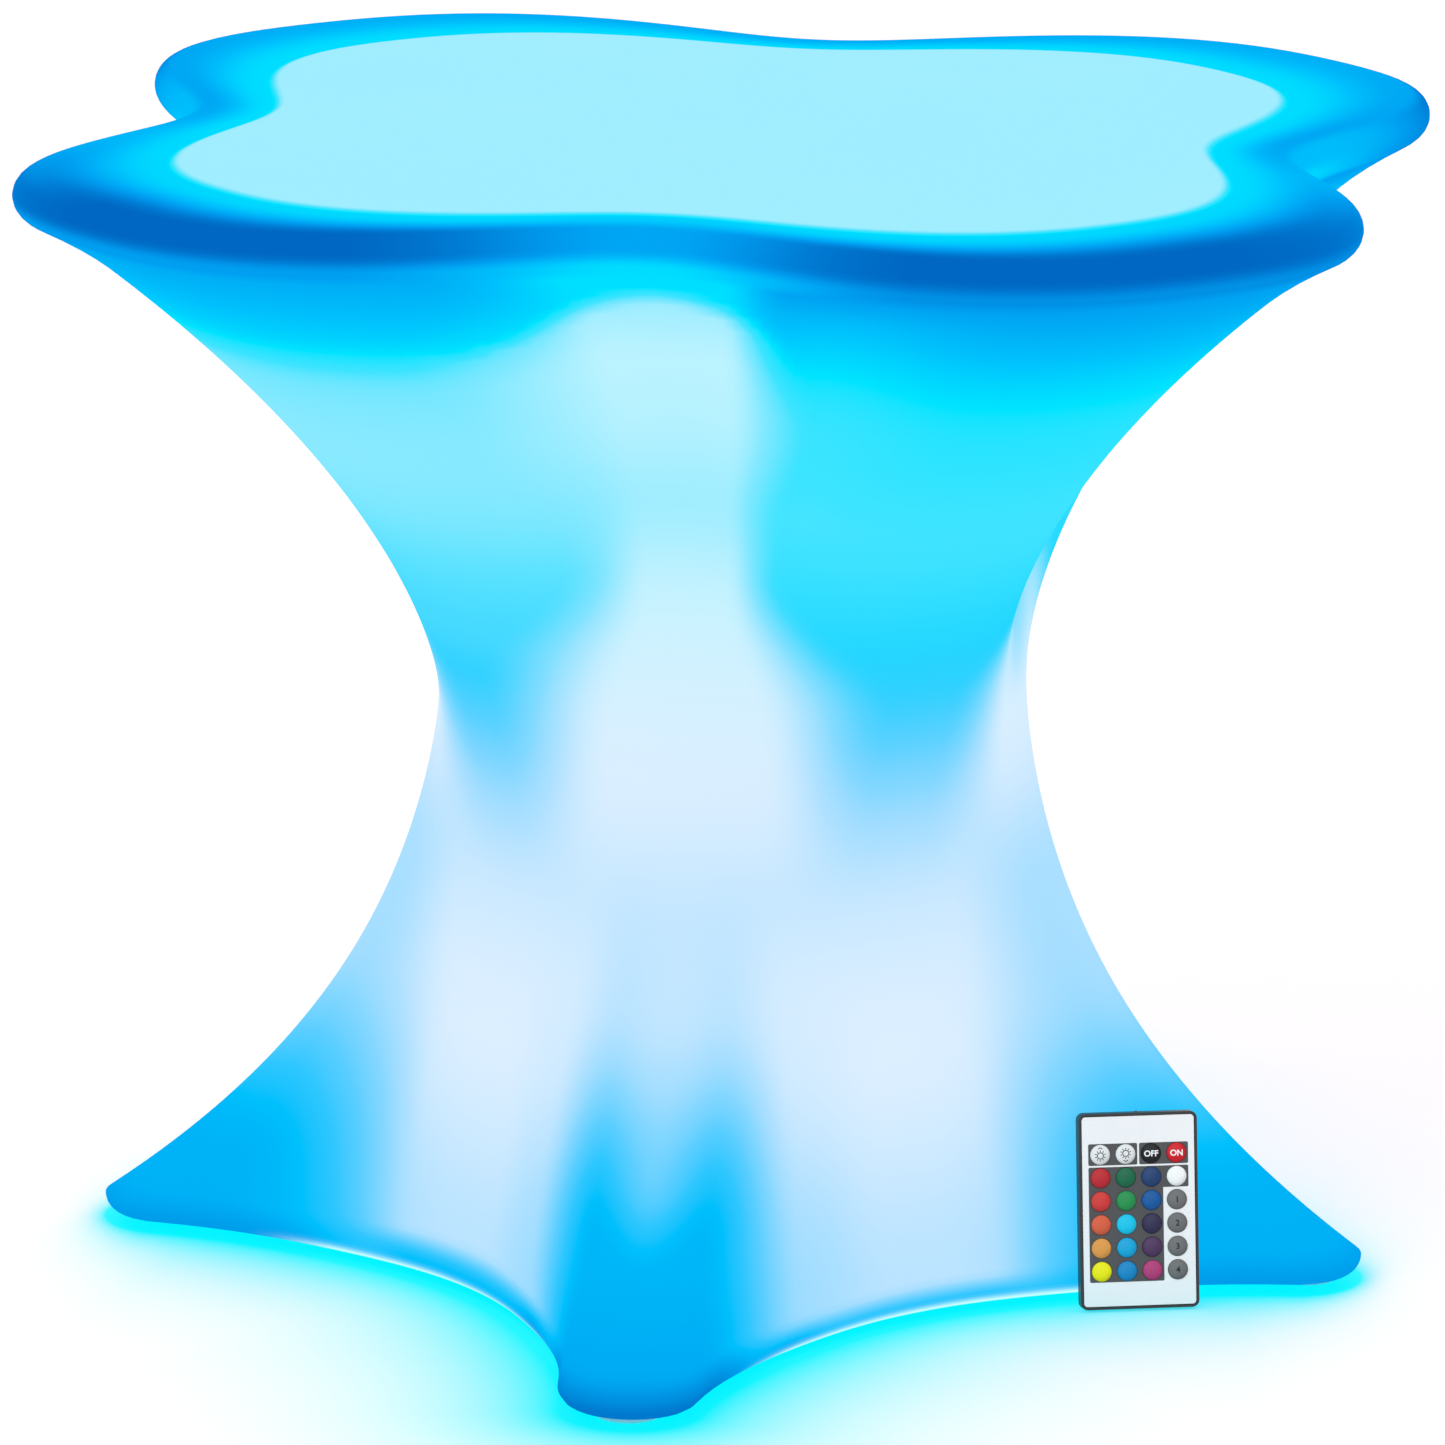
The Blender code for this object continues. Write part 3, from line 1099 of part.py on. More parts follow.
def make_battery_tray(frame):
    bm = bmesh.new()
    middle_y = TRAY_LENGTH / 2
    add_block(bm, (TRAY_WIDTH, TRAY_LENGTH, TRAY_THICKNESS), (0.0, middle_y, (TRAY_BACK + TRAY_FRONT) / 2))
    tray = add_object("battery_tray", bm, black_plastic(), frame)
    hole = bmesh.new()
    coin_y = TRAY_LENGTH - COIN_RADIUS - REMOTE_WALL
    add_turned(hole, rod_profile(COIN_RADIUS + SEAT_GAP, TRAY_BACK - CUT_OVERRUN, TRAY_FRONT + CUT_OVERRUN),
               ROUND_STEPS, (0.0, coin_y))
    cut(tray, "coin_hole", hole)
    low = (TRAY_BACK + TRAY_FRONT - COIN_THICKNESS) / 2
    turned("coin_cell", rod_profile(COIN_RADIUS, low, low + COIN_THICKNESS), bright_steel(),
           ROUND_STEPS, (0.0, coin_y), frame)


def make_remote():
    frame = make_remote_frame()
    make_remote_back(frame)
    make_pierced_sheet(frame, "remote_face", white_plastic(), SEAT_GAP, FACE_BACK, FACE_FRONT,
                       KEY_RADIUS + KEY_CLEARANCE)
    make_pierced_sheet(frame, "key_mat", seal_silicone(), SEAT_GAP, MAT_BACK, MAT_FRONT,
                       KEY_RADIUS + KEY_COLLAR + MAT_HOLE_CLEARANCE)
    make_keys(frame)
    make_remote_board(frame)
    make_emitter(frame)
    make_battery_tray(frame)


def build():
    clear_scene()
    make_shell()
    make_floor_pads()
    make_housing_screws()
    make_gasket()
    make_housing()
    make_lamp_dome()
    make_led_board()
    make_infrared_receiver()
    make_control_board()
    make_battery()
    make_leads()
    make_power_button()
    make_power_switch()
    make_charging_socket()
    make_port_plug()
    make_plug_strap()
    make_charge_light()
    make_remote()


build()
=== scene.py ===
import json
import math

import bmesh
import bpy
from mathutils import Matrix, Quaternion, Vector, kdtree

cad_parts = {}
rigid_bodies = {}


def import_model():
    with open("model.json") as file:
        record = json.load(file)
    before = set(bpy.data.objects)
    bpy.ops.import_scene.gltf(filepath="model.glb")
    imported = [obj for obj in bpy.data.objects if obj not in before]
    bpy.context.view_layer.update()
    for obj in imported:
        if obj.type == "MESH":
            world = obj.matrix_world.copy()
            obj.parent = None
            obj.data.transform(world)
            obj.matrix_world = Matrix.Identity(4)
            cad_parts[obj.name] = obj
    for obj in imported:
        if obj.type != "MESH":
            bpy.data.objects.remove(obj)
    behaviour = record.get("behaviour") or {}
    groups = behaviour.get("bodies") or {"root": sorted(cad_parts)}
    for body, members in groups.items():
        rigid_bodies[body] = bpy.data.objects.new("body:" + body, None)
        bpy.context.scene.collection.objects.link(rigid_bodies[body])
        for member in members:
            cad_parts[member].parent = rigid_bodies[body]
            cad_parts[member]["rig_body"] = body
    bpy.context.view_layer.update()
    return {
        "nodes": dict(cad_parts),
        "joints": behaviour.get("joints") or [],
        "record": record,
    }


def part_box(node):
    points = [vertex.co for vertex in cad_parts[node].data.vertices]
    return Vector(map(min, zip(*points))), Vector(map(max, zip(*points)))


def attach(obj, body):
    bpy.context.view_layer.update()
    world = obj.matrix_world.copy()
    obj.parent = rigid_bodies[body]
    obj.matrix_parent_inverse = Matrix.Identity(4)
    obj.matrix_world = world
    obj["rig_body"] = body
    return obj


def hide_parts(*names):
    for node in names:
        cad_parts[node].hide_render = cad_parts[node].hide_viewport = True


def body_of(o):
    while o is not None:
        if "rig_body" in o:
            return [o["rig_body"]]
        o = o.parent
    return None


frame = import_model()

nodes = frame["nodes"]
scene = bpy.context.scene
scene.view_settings.view_transform = "Standard"
print("frame loaded:", len(nodes), "nodes")


# small sums

def smoothStep(value, start, end):
    share = min(1.0, max(0.0, (value - start) / (end - start)))
    return share * share * (3 - 2 * share)


def bell(value, centre, width):
    return math.exp(-((value - centre) / width) ** 2)


def rise(value, strength, start, end):
    return strength * smoothStep(value, start, end)


def fall(value, strength, start, end):
    return strength * (1 - smoothStep(value, start, end))


def belt(value, strength, centre, width):
    return strength * bell(value, centre, width)


def blend(first, second, share):
    return [start + (end - start) * share for start, end in zip(first, second)]


def toLinear(red, green, blue):     # 0-255 as seen on a screen
    tones = [tone / 255 for tone in (red, green, blue)]
    return [tone / 12.92 if tone <= 0.04045 else ((tone + 0.055) / 1.055) ** 2.4 for tone in tones]


# shader maths as plain sums

class Wire:
    def __init__(self, finish, socket):
        self.finish = finish
        self.socket = socket

    def sum(self, operation, first, second=0.0):
        return self.finish.node("ShaderNodeMath", {"operation": operation}, {0: first, 1: second})

    def __add__(self, other):
        return self.sum("ADD", self, other)

    __radd__ = __add__

    def __sub__(self, other):
        return self.sum("SUBTRACT", self, other)

    def __rsub__(self, other):
        return self.sum("SUBTRACT", other, self)

    def __mul__(self, other):
        return self.sum("MULTIPLY", self, other)

    __rmul__ = __mul__

    def __lt__(self, other):
        return self.sum("LESS_THAN", self, other)

    def __or__(self, other):
        return self.sum("MAXIMUM", self, other)

    def __abs__(self):
        return self.sum("ABSOLUTE", self)


class Finish:
    def __init__(self, name, **fixed):
        self.material = bpy.data.materials.new(name)
        self.material.use_nodes = True
        self.tree = self.material.node_tree
        self.shader = self.tree.nodes["Principled BSDF"]
        for key, value in fixed.items():
            self.shader.inputs[inputNames[key]].default_value = value

    def node(self, kind, settings=None, sockets=None, output=0):
        made = self.tree.nodes.new(kind)
        for key, value in (settings or {}).items():
            if key == "stops":
                while len(made.color_ramp.elements) < len(value):
                    made.color_ramp.elements.new(0.5)
                for element, (place, colour) in zip(made.color_ramp.elements, value):
                    element.position = place
                    element.color = (*colour, 1.0)
            else:
                setattr(made, key, value)
        for key, value in (sockets or {}).items():
            self.join(made.inputs[key], value)
        return Wire(self, made.outputs[output])

    def join(self, socket, value):
        if isinstance(value, Wire):
            self.tree.links.new(value.socket, socket)
        elif hasattr(value, "__len__") and len(value) == 3 and len(socket.default_value) == 4:
            socket.default_value = (*value, 1.0)
        else:
            socket.default_value = value

    def set(self, **values):
        for key, value in values.items():
            self.join(self.shader.inputs[inputNames[key]], value)
        return self

    def place(self):
        return self.node("ShaderNodeTexCoord", output=3)

    def attribute(self, name):
        return self.node("ShaderNodeAttribute", {"attribute_name": name}, output=2)

    def noise(self, scale, detail=3.0):
        return self.node("ShaderNodeTexNoise", None, {"Vector": self.place(), "Scale": scale,
                                                      "Detail": detail})

    def ramp(self, factor, stops):
        return self.node("ShaderNodeValToRGB", {"stops": stops}, {"Fac": factor})

    def mix(self, factor, first, second):
        return self.node("ShaderNodeMix", {"data_type": "RGBA"}, {0: factor, 6: first, 7: second}, 2)

    def spread(self, noise, low, high):     # a noise lies mostly between 0.3 and 0.7
        return self.node("ShaderNodeMapRange", None, {"Value": noise, "From Min": 0.3, "From Max": 0.7,
                                                      "To Min": low, "To Max": high})

    def bump(self, height, distance, strength):
        return self.node("ShaderNodeBump", None, {"Height": height, "Distance": distance,
                                                  "Strength": strength})


inputNames = {"colour": "Base Color", "roughness": "Roughness", "metallic": "Metallic",
              "specular": "Specular IOR Level", "glow": "Emission Color", "glowStrength": "Emission Strength",
              "coat": "Coat Weight", "coatRoughness": "Coat Roughness", "normal": "Normal",
              "transmission": "Transmission Weight", "ior": "IOR"}


# camera and light

view = {"place": (0.7086, -4.3652, 1.2949), "aim": (0.0, 0.0, 0.25), "lens": 260.1, "sensor": 36.0,
        "far": 100.0, "roll": math.radians(0.54), "shiftX": -0.00735, "shiftY": -0.0204}
studio = {"sky": (1.0, 1.0, 1.0), "skyStrength": 1.0, "lampPlace": (-1.6, -2.2, 2.6), "lampSize": 1.6,
          "lampPower": 18.0}


def makeCamera():
    lens = bpy.data.cameras.new("photoView")
    lens.lens = view["lens"]
    lens.sensor_width = view["sensor"]
    lens.clip_end = view["far"]
    lens.shift_x = view["shiftX"]
    lens.shift_y = view["shiftY"]
    camera = bpy.data.objects.new("photoView", lens)
    camera.location = view["place"]
    look = (Vector(view["aim"]) - camera.location).to_track_quat("-Z", "Y")
    camera.rotation_mode = "QUATERNION"
    camera.rotation_quaternion = look @ Quaternion((0.0, 0.0, 1.0), view["roll"])
    scene.collection.objects.link(camera)
    scene.camera = camera


def makeLights():
    world = bpy.data.worlds.new("studio")
    world.use_nodes = True
    sky = world.node_tree.nodes["Background"]
    sky.inputs["Color"].default_value = (*studio["sky"], 1.0)
    sky.inputs["Strength"].default_value = studio["skyStrength"]
    scene.world = world
    lamp = bpy.data.lights.new("softLamp", "AREA")
    lamp.size = studio["lampSize"]
    lamp.energy = studio["lampPower"]
    made = bpy.data.objects.new("softLamp", lamp)
    made.location = studio["lampPlace"]
    made.rotation_mode = "QUATERNION"
    made.rotation_quaternion = (Vector(view["aim"]) - made.location).to_track_quat("-Z", "Y")
    scene.collection.objects.link(made)


makeCamera()
makeLights()
print("camera and light set")


# shell: the same half-sections and plan as the solid, on a finer mesh

shell = {
    "height": 0.500, "wall": 0.004, "bottom": 0.003,
    "waist": 0.1215, "footReach": 0.2958, "footFlareTop": 0.400, "footSweep": 3.45,
    "bay": 0.146, "bayFlareTop": 0.190, "baySweep": 1.5,
    "notch": 0.2325, "notchFlareBase": 0.310, "notchSweep": 2.4,
    "lobe": 0.324, "lobeFlareBase": 0.190, "lobeSweep": 1.95,
    "lipReach": 0.0078, "lipDepth": 0.022, "rimRadius": 0.009, "rimTuck": math.radians(55),
    "hemRadius": 0.008, "tipRadius": 0.031, "tipCentre": 0.2555, "bayArc": 0.250,
    "hemFadeHeight": 0.0575, "hemFadePower": 1.5, "ridgePower": 1.25, "ridgePowerRise": 0.35,
    "fieldLobe": 0.2615, "fieldNotch": 0.201, "fieldPower": 1.32, "fieldStep": 0.0015, "fieldBevel": 0.006,
    "pocket": 0.080, "pocketDepth": 0.035, "port": 0.058,
    "eighthSteps": 36, "angleCrowd": 1.5, "flankRings": 104, "flankCrowd": 1.15, "rimRings": 12,
    "hemRings": 8, "borderRings": 10, "fieldRings": 12,
}
shell["hemLevel"] = shell["bottom"] + shell["hemRadius"]
shell["borderLevel"] = shell["height"] - shell["fieldStep"]
shell["rimLevel"] = shell["borderLevel"] - shell["rimRadius"]
shell["flankTop"] = shell["rimLevel"] - shell["rimRadius"] * math.sin(shell["rimTuck"])
shell["seat"] = shell["bottom"] + shell["pocketDepth"]


def ridgeRadius(height):
    foot = max(0.0, 1 - height / shell["footFlareTop"]) ** shell["footSweep"]
    flare = max(0.0, (height - shell["notchFlareBase"]) / (shell["flankTop"] - shell["notchFlareBase"]))
    return (shell["waist"] + (shell["footReach"] - shell["waist"]) * foot
            + (shell["notch"] - shell["waist"]) * flare ** shell["notchSweep"] + lipOut(height))


def bayRadius(height):
    hem = max(0.0, 1 - height / shell["bayFlareTop"]) ** shell["baySweep"]
    flare = max(0.0, (height - shell["lobeFlareBase"]) / (shell["flankTop"] - shell["lobeFlareBase"]))
    return (shell["waist"] + (shell["bay"] - shell["waist"]) * hem
            + (shell["lobe"] - shell["waist"]) * flare ** shell["lobeSweep"] + lipOut(height))


def lipOut(height):
    depth = shell["lipDepth"]
    return shell["lipReach"] * max(0.0, (height - shell["flankTop"] + depth) / depth) ** 2


def hemPlan(fold):
    centre, radius = shell["tipCentre"], shell["tipRadius"]
    side = centre * math.sin(math.tau / 8)
    arcCentre = side + math.sqrt((radius + shell["bayArc"]) ** 2 - side ** 2)
    beside = arcCentre * math.sin(math.tau / 8)
    seam = centre - radius * math.cos(math.atan2(beside, centre - beside))
    across = centre * math.sin(fold)
    if abs(across) < radius:
        reach = centre * math.cos(fold) + math.sqrt(radius ** 2 - across ** 2)
        if reach * math.cos(fold) > seam:
            return reach
    turn = abs(fold) - math.tau / 8
    return arcCentre * math.cos(turn) - math.sqrt(shell["bayArc"] ** 2 - (arcCentre * math.sin(turn)) ** 2)


def ridgeShare(fold, height):
    wave = (1 + math.cos(4 * fold)) / 2
    soft = wave ** (shell["ridgePower"] + shell["ridgePowerRise"] * (height / shell["height"]) ** 3)
    low = hemPlan(math.tau / 8)
    star = (hemPlan(fold) - low) / (hemPlan(0.0) - low)
    hold = math.exp(-(height / shell["hemFadeHeight"]) ** shell["hemFadePower"])
    return soft + (star - soft) * hold


def foldOf(azimuth):
    return (azimuth + math.tau / 8) % (math.tau / 4) - math.tau / 8


def flankRadius(azimuth, height):
    low = bayRadius(height)
    return low + (ridgeRadius(height) - low) * ridgeShare(foldOf(azimuth), height)


def fieldRadius(azimuth):
    wave = (1 + math.cos(4 * foldOf(azimuth))) / 2
    return shell["fieldLobe"] + (shell["fieldNotch"] - shell["fieldLobe"]) * wave ** shell["fieldPower"]


def shellAngles():
    steps = shell["eighthSteps"]
    eighth = [math.tau / 8 * (step / steps) ** shell["angleCrowd"] for step in range(steps + 1)]
    quarter = eighth[:-1] + [math.tau / 4 - angle for angle in reversed(eighth[1:])]
    return [math.tau / 4 * turn + angle for turn in range(4) for angle in quarter]


def planRing(radiusAt, angles, grow=0.0):     # an outline in plan, moved outwards by grow
    points = [Vector((radiusAt(a) * math.cos(a), radiusAt(a) * math.sin(a))) for a in angles]
    if not grow:
        return points
    count = len(points)
    moved = []
    for index, point in enumerate(points):
        along = (points[(index + 1) % count] - points[index - 1]).normalized()
        moved.append(point + Vector((along.y, -along.x)) * grow)
    return moved


# how brightly the moulding glows, from 0 at its deepest blue to 1

tones = {
    "upper": [(0.0, (0, 95, 188)), (0.1, (0, 121, 210)), (0.23, (0, 156, 238)), (0.36, (0, 190, 250)),
              (0.5, (0, 226, 254)), (0.64, (62, 226, 253)), (0.8, (130, 231, 253)), (1.0, (196, 243, 254))],
    "lower": [(0.0, (0, 95, 188)), (0.14, (0, 122, 206)), (0.29, (0, 150, 229)), (0.4, (0, 171, 242)),
              (0.5, (0, 190, 250)), (0.6, (48, 197, 252)), (0.7, (90, 204, 253)), (0.8, (132, 213, 254)),
              (0.9, (176, 223, 254)), (1.0, (220, 237, 254))],
}


# each row is a strength and the heights between which it rises or falls, or a belt's middle height and
# width; a fold is the angle away from the ridge over the nearest foot, in degrees
flankLight = {
    "leftFrom": (-0.05, 0.35),
    "bayDrop": (0.45, 0.175, 0.305), "bayBelt": (0.09, 0.355, 0.035), "bayTop": (0.33, 0.40, 0.49),
    "leftBayLow": (0.09, 0.275, 0.30), "leftBayHigh": (0.15, 0.33, 0.40), "leftBayEnd": (0.8, 0.42, 0.447),
    "ridgeBelt": (0.11, 0.362, 0.03), "ridgeHighBelt": (0.04, 0.41, 0.04), "ridgeDim": (0.12, 0.428, 0.466),
    "ridgeEnd": (0.40, 0.460, 0.4725), "ridgeArch": (0.006, 0.42, 0.45), "archFold": 8,
    "innerFold": 7.5, "innerLow": (6.5, 0.26, 0.32), "outerFold": 17, "outerLow": (22, 0.27, 0.335),
    "outerBelt": (6, 0.40, 0.04), "outerTrim": (3.2, 0.33, 0.37), "leftTrim": (2.2, 0.33, 0.37),
    "leftOuter": 3, "leftOuterBelt": (6, 0.435, 0.02),
    "shoulderFold": (0.06, 20, 8), "shoulderIn": (1, 0.34, 0.42), "shoulderOut": (1, 0.462, 0.48),
    "lowDim": (0.08, 0.02, 0.12), "lowBelt": (0.045, 0.19, 0.035),
    "wedgeIn": (1, 0.05, 0.085), "wedgeFold": 1.5, "wedgeFrom": 0.04, "wedgeSpread": 80,
    "besideFold": (0.08, 12, 40), "besideOut": (1, 0.05, 0.18), "toeBelt": (0.05, 0.05, 0.03),
    "waist": 0.22, "leftWaist": 0.10, "waistFold": (1, 0, 16), "waistIn": (1, 0.25, 0.30),
    "waistOut": (1, 0.36, 0.47),
    "hemRight": (1, 0.006, 0.018), "hemLeft": (1, 0.010, 0.024), "hemLevel": 0.5,
    "hemEdge": (0.27, 0.005, 0.021), "hemEdgeSide": 0.6, "hemCornerFold": (0.14, 17, 6),
    "hemCornerOut": (1, 0.008, 0.021), "lowTint": (1, 0.22, 0.37),
}
frontFoot = {"edge": (6, 17.5), "deep": (0.38, 0.06, 0.145), "long": (0.17, 0.09, 0.215), "wedge": (0.45,)}
sideFoot = {"edge": (8, 37.5), "deep": (0.33, 0.04, 0.135), "long": (0.17, 0.09, 0.265), "wedge": (0.15,)}
rimLight = {
    "lobeFold": (2, 24), "frontFrom": (0.1, 0.6), "notch": 0.29, "lobeDrop": 0.24, "frontDrop": 0.04,
    "underNotch": 0.466, "underLobe": 0.17, "underLeft": 0.06, "end": (0.08, 0.7, 0.93),
    "endFront": (1.4, -0.1, 0.4), "endBack": 0.4, "leftEnd": (1, 0.7, 0.88), "leftEndTop": 0.08,
    "leftEndBand": 0.04, "endBand": 0.7,
    "bandTurn": (math.radians(-35), math.radians(17)), "topTurn": (math.radians(45), math.radians(90)),
    "inner": 0.47, "innerFront": 0.06, "innerLobe": 0.04, "innerShare": (0.05, 0.95),
}


def bayGlow(height, left):         # between the feet
    light = flankLight
    glow = (1 - rise(height, *light["bayDrop"]) + belt(height, *light["bayBelt"])
            - rise(height, *light["bayTop"]))
    paler = rise(height, *light["leftBayLow"]) + rise(height, *light["leftBayHigh"])
    return glow + left * paler * (1 - rise(height, *light["leftBayEnd"]))


def ridgeGlow(height, fold):       # over a foot, with a rounded end under the rim
    light = flankLight
    arch = height + rise(height, *light["ridgeArch"]) * (fold / light["archFold"]) ** 2
    return (1 - belt(height, *light["ridgeBelt"]) - belt(height, *light["ridgeHighBelt"])
            - rise(height, *light["ridgeDim"]) - rise(arch, *light["ridgeEnd"]))


def ridgeEdges(height, left):      # the folds between which the ridge gives way to the bay
    light = flankLight
    inner = light["innerFold"] + fall(height, *light["innerLow"])
    outer = light["outerFold"] + fall(height, *light["outerLow"]) + belt(height, *light["outerBelt"])
    outer -= rise(height, *light["outerTrim"])
    outer += left * (rise(height, *light["leftTrim"]) + light["leftOuter"]
                     + belt(height, *light["leftOuterBelt"]))
    return inner, outer


def footShade(height, fold, lateral, edge):     # a foot is deeper blue, with a paler wedge down its ridge
    light = flankLight
    foot = {part: blend(frontFoot[part], sideFoot[part], lateral) for part in frontFoot}
    deep = fall(height, *foot["deep"]) + fall(height, *foot["long"])
    width = light["wedgeFold"] + max(0.0, (height - light["wedgeFrom"]) * light["wedgeSpread"])
    wedge = foot["wedge"][0] * rise(height, *light["wedgeIn"]) * bell(fold, 0, width)
    beside = fall(fold, *light["besideFold"]) * fall(height, *light["besideOut"])
    toe = (1 - lateral) * belt(height, *light["toeBelt"])
    return edge * (deep * (1 - wedge) - toe) + (1 - edge) * beside


def waistShade(height, fold, lateral, left):    # over the feet at the sides
    light = flankLight
    return ((light["waist"] + light["leftWaist"] * left) * lateral ** 3 * belt(fold, *light["waistFold"])
            * rise(height, *light["waistIn"]) * fall(height, *light["waistOut"]))


def hemGlow(glow, height, fold, lateral, left, edge):       # the rounded hem is darker again
    light = flankLight
    hem = fall(height, *blend(light["hemRight"], light["hemLeft"], left))
    glow -= (1 - light["hemEdgeSide"] * lateral) * fall(height, *light["hemEdge"]) * edge
    glow -= max(0.0, glow - light["hemLevel"]) * hem * (1 - edge)
    return glow - (1 - lateral) * belt(fold, *light["hemCornerFold"]) * fall(height, *light["hemCornerOut"])


def flankGlow(azimuth, height):    # the glow, and how far it takes the lower tones
    light = flankLight
    fold = abs(math.degrees(foldOf(azimuth)))
    side = -math.cos(azimuth)
    lateral = side ** 2
    # the left side is given painted light, paler than the right
    left = smoothStep(side, *light["leftFrom"])
    ridge = ridgeGlow(height, fold)
    glow = ridge + (bayGlow(height, left) - ridge) * smoothStep(fold, *ridgeEdges(height, left))
    glow += ((1 - left) * belt(fold, *light["shoulderFold"]) * rise(height, *light["shoulderIn"])
             * fall(height, *light["shoulderOut"]))
    glow -= fall(height, *light["lowDim"]) + belt(height, *light["lowBelt"])
    edge = 1 - smoothStep(fold, *blend(frontFoot["edge"], sideFoot["edge"], lateral))
    glow -= footShade(height, fold, lateral, edge) + waistShade(height, fold, lateral, left)
    glow = hemGlow(glow, height, fold, lateral, left, edge)
    return min(1.0, max(0.0, glow)), fall(height, *light["lowTint"])


# the front lobes and border are given painted shade, darker than at the back
def rimPlace(azimuth):             # how much of a lobe it is, and how much of the front
    fold = abs(math.degrees(foldOf(azimuth)))
    return smoothStep(fold, *rimLight["lobeFold"]), smoothStep(-math.sin(azimuth), *rimLight["frontFrom"])


def rimGlow(azimuth, turn):        # turn is the angle round the rolled edge
    light = rimLight
    lobe, front = rimPlace(azimuth)
    side = -math.cos(azimuth)
    ends = smoothStep(abs(math.sin(azimuth)), *light["frontFrom"])
    drop = light["lobeDrop"] * lobe + light["frontDrop"]
    end = rise(abs(side), *light["end"])
    leftEnd = front * rise(side, *light["leftEnd"])
    top = (light["notch"] - front * drop + light["leftEndTop"] * leftEnd
           + end * (rise(-math.sin(azimuth), *light["endFront"]) - light["endBack"]))
    band = light["notch"] - ends * drop + light["endBand"] * end + light["leftEndBand"] * leftEnd
    underLobe = light["underLobe"] + light["underLeft"] * smoothStep(side, *flankLight["leftFrom"])
    under = light["underNotch"] + (underLobe - light["underNotch"]) * lobe
    glow = band + (under - band) * fall(turn, 1, *light["bandTurn"])
    return glow + (top - glow) * smoothStep(turn, *light["topTurn"])


def borderGlow(azimuth, share):    # share runs from the rim to the field
    light = rimLight
    lobe, front = rimPlace(azimuth)
    inner = light["inner"] - front * (light["innerFront"] - light["innerLobe"] * lobe)
    outer = rimGlow(azimuth, light["topTurn"][1])
    return outer + (inner - outer) * smoothStep(share, *light["innerShare"])


glowLevels = {
    "inside": 0.8, "under": 0.4, "field": 0.88, "fieldEdge": (0.1, 1.0),
    "fieldShares": (0.25, 0.5, 0.75, 1.0), "hemLineFold": (11, 20), "hemLine": (0.0044, 0.0022),
}


def hemAt(azimuth):
    return flankRadius(azimuth, shell["hemLevel"])


# a ring is its points, heights, glows, tints and painted hem highlights, each with one value for each angle

def flatRing(points, height, glows, tint=0.0, line=0.0):
    count = len(points)
    return (points, [height] * count, glows, [tint] * count, [line] * count)


def underRings(angles):            # the seat of the light unit, its pocket and the underside up to the hem
    inside = [glowLevels["inside"]] * len(angles)
    port = planRing(lambda a: shell["port"], angles)
    pocket = planRing(lambda a: shell["pocket"], angles)
    under = planRing(hemAt, angles, -shell["hemRadius"])
    return [flatRing(port, shell["seat"], inside, 1.0), flatRing(pocket, shell["seat"], inside, 1.0),
            flatRing(pocket, shell["bottom"], inside, 1.0),
            flatRing(under, shell["bottom"], [glowLevels["under"]] * len(angles), 1.0)]


def hemRings(angles):
    rings = []
    for step in range(1, shell["hemRings"]):
        turn = math.tau / 4 * (1 - step / shell["hemRings"])
        points = planRing(hemAt, angles, shell["hemRadius"] * (math.cos(turn) - 1))
        height = shell["hemLevel"] - shell["hemRadius"] * math.sin(turn)
        folds = [abs(math.degrees(foldOf(a))) for a in angles]
        # painted highlight: a thin bright line low on the hem, only in the bays between the feet
        line = [smoothStep(fold, *glowLevels["hemLineFold"]) * bell(height, *glowLevels["hemLine"])
                for fold in folds]
        glows = [flankGlow(a, height)[0] for a in angles]
        rings.append((points, [height] * len(angles), glows, [1.0] * len(angles), line))
    return rings


def flankRings(angles):
    rings = []
    span = shell["flankTop"] - shell["hemLevel"]
    for step in range(shell["flankRings"]):
        height = shell["hemLevel"] + span * (step / shell["flankRings"]) ** shell["flankCrowd"]
        lit = [flankGlow(a, height) for a in angles]
        rings.append((planRing(lambda a: flankRadius(a, height), angles), [height] * len(angles),
                      [pair[0] for pair in lit], [pair[1] for pair in lit], [0.0] * len(angles)))
    return rings


def rimRings(angles):
    rings = []
    for step in range(shell["rimRings"] + 1):
        turn = -shell["rimTuck"] + (shell["rimTuck"] + math.tau / 4) * step / shell["rimRings"]
        grow = shell["rimRadius"] * (math.cos(turn) - math.cos(shell["rimTuck"]))
        points = planRing(lambda a: flankRadius(a, shell["flankTop"]), angles, grow)
        height = shell["rimLevel"] + shell["rimRadius"] * math.sin(turn)
        rings.append(flatRing(points, height, [rimGlow(a, turn) for a in angles]))
    return rings


def topRings(angles, outer):       # the border, the step up to the field, and the field
    rings = []
    inner = planRing(fieldRadius, angles, shell["fieldBevel"])
    for step in range(1, shell["borderRings"] + 1):
        share = step / shell["borderRings"]
        points = [first.lerp(second, share) for first, second in zip(outer, inner)]
        rings.append(flatRing(points, shell["borderLevel"], [borderGlow(a, share) for a in angles]))
    beside = [borderGlow(a, 1.0) for a in angles]
    for share in glowLevels["fieldShares"]:
        points = planRing(fieldRadius, angles, shell["fieldBevel"] * (1 - share))
        height = shell["borderLevel"] + shell["fieldStep"] * smoothStep(share, 0.0, 1.0)
        lit = smoothStep(share, *glowLevels["fieldEdge"])
        rings.append(flatRing(points, height, [glow + (glowLevels["field"] - glow) * lit for glow in beside]))
    for step in range(1, shell["fieldRings"]):
        points = planRing(lambda a: fieldRadius(a) * (1 - step / shell["fieldRings"]), angles)
        rings.append(flatRing(points, shell["height"], [glowLevels["field"]] * len(angles)))
    return rings


def shellRings(angles):
    rings = underRings(angles) + hemRings(angles) + flankRings(angles) + rimRings(angles)
    return rings + topRings(angles, rings[-1][0])


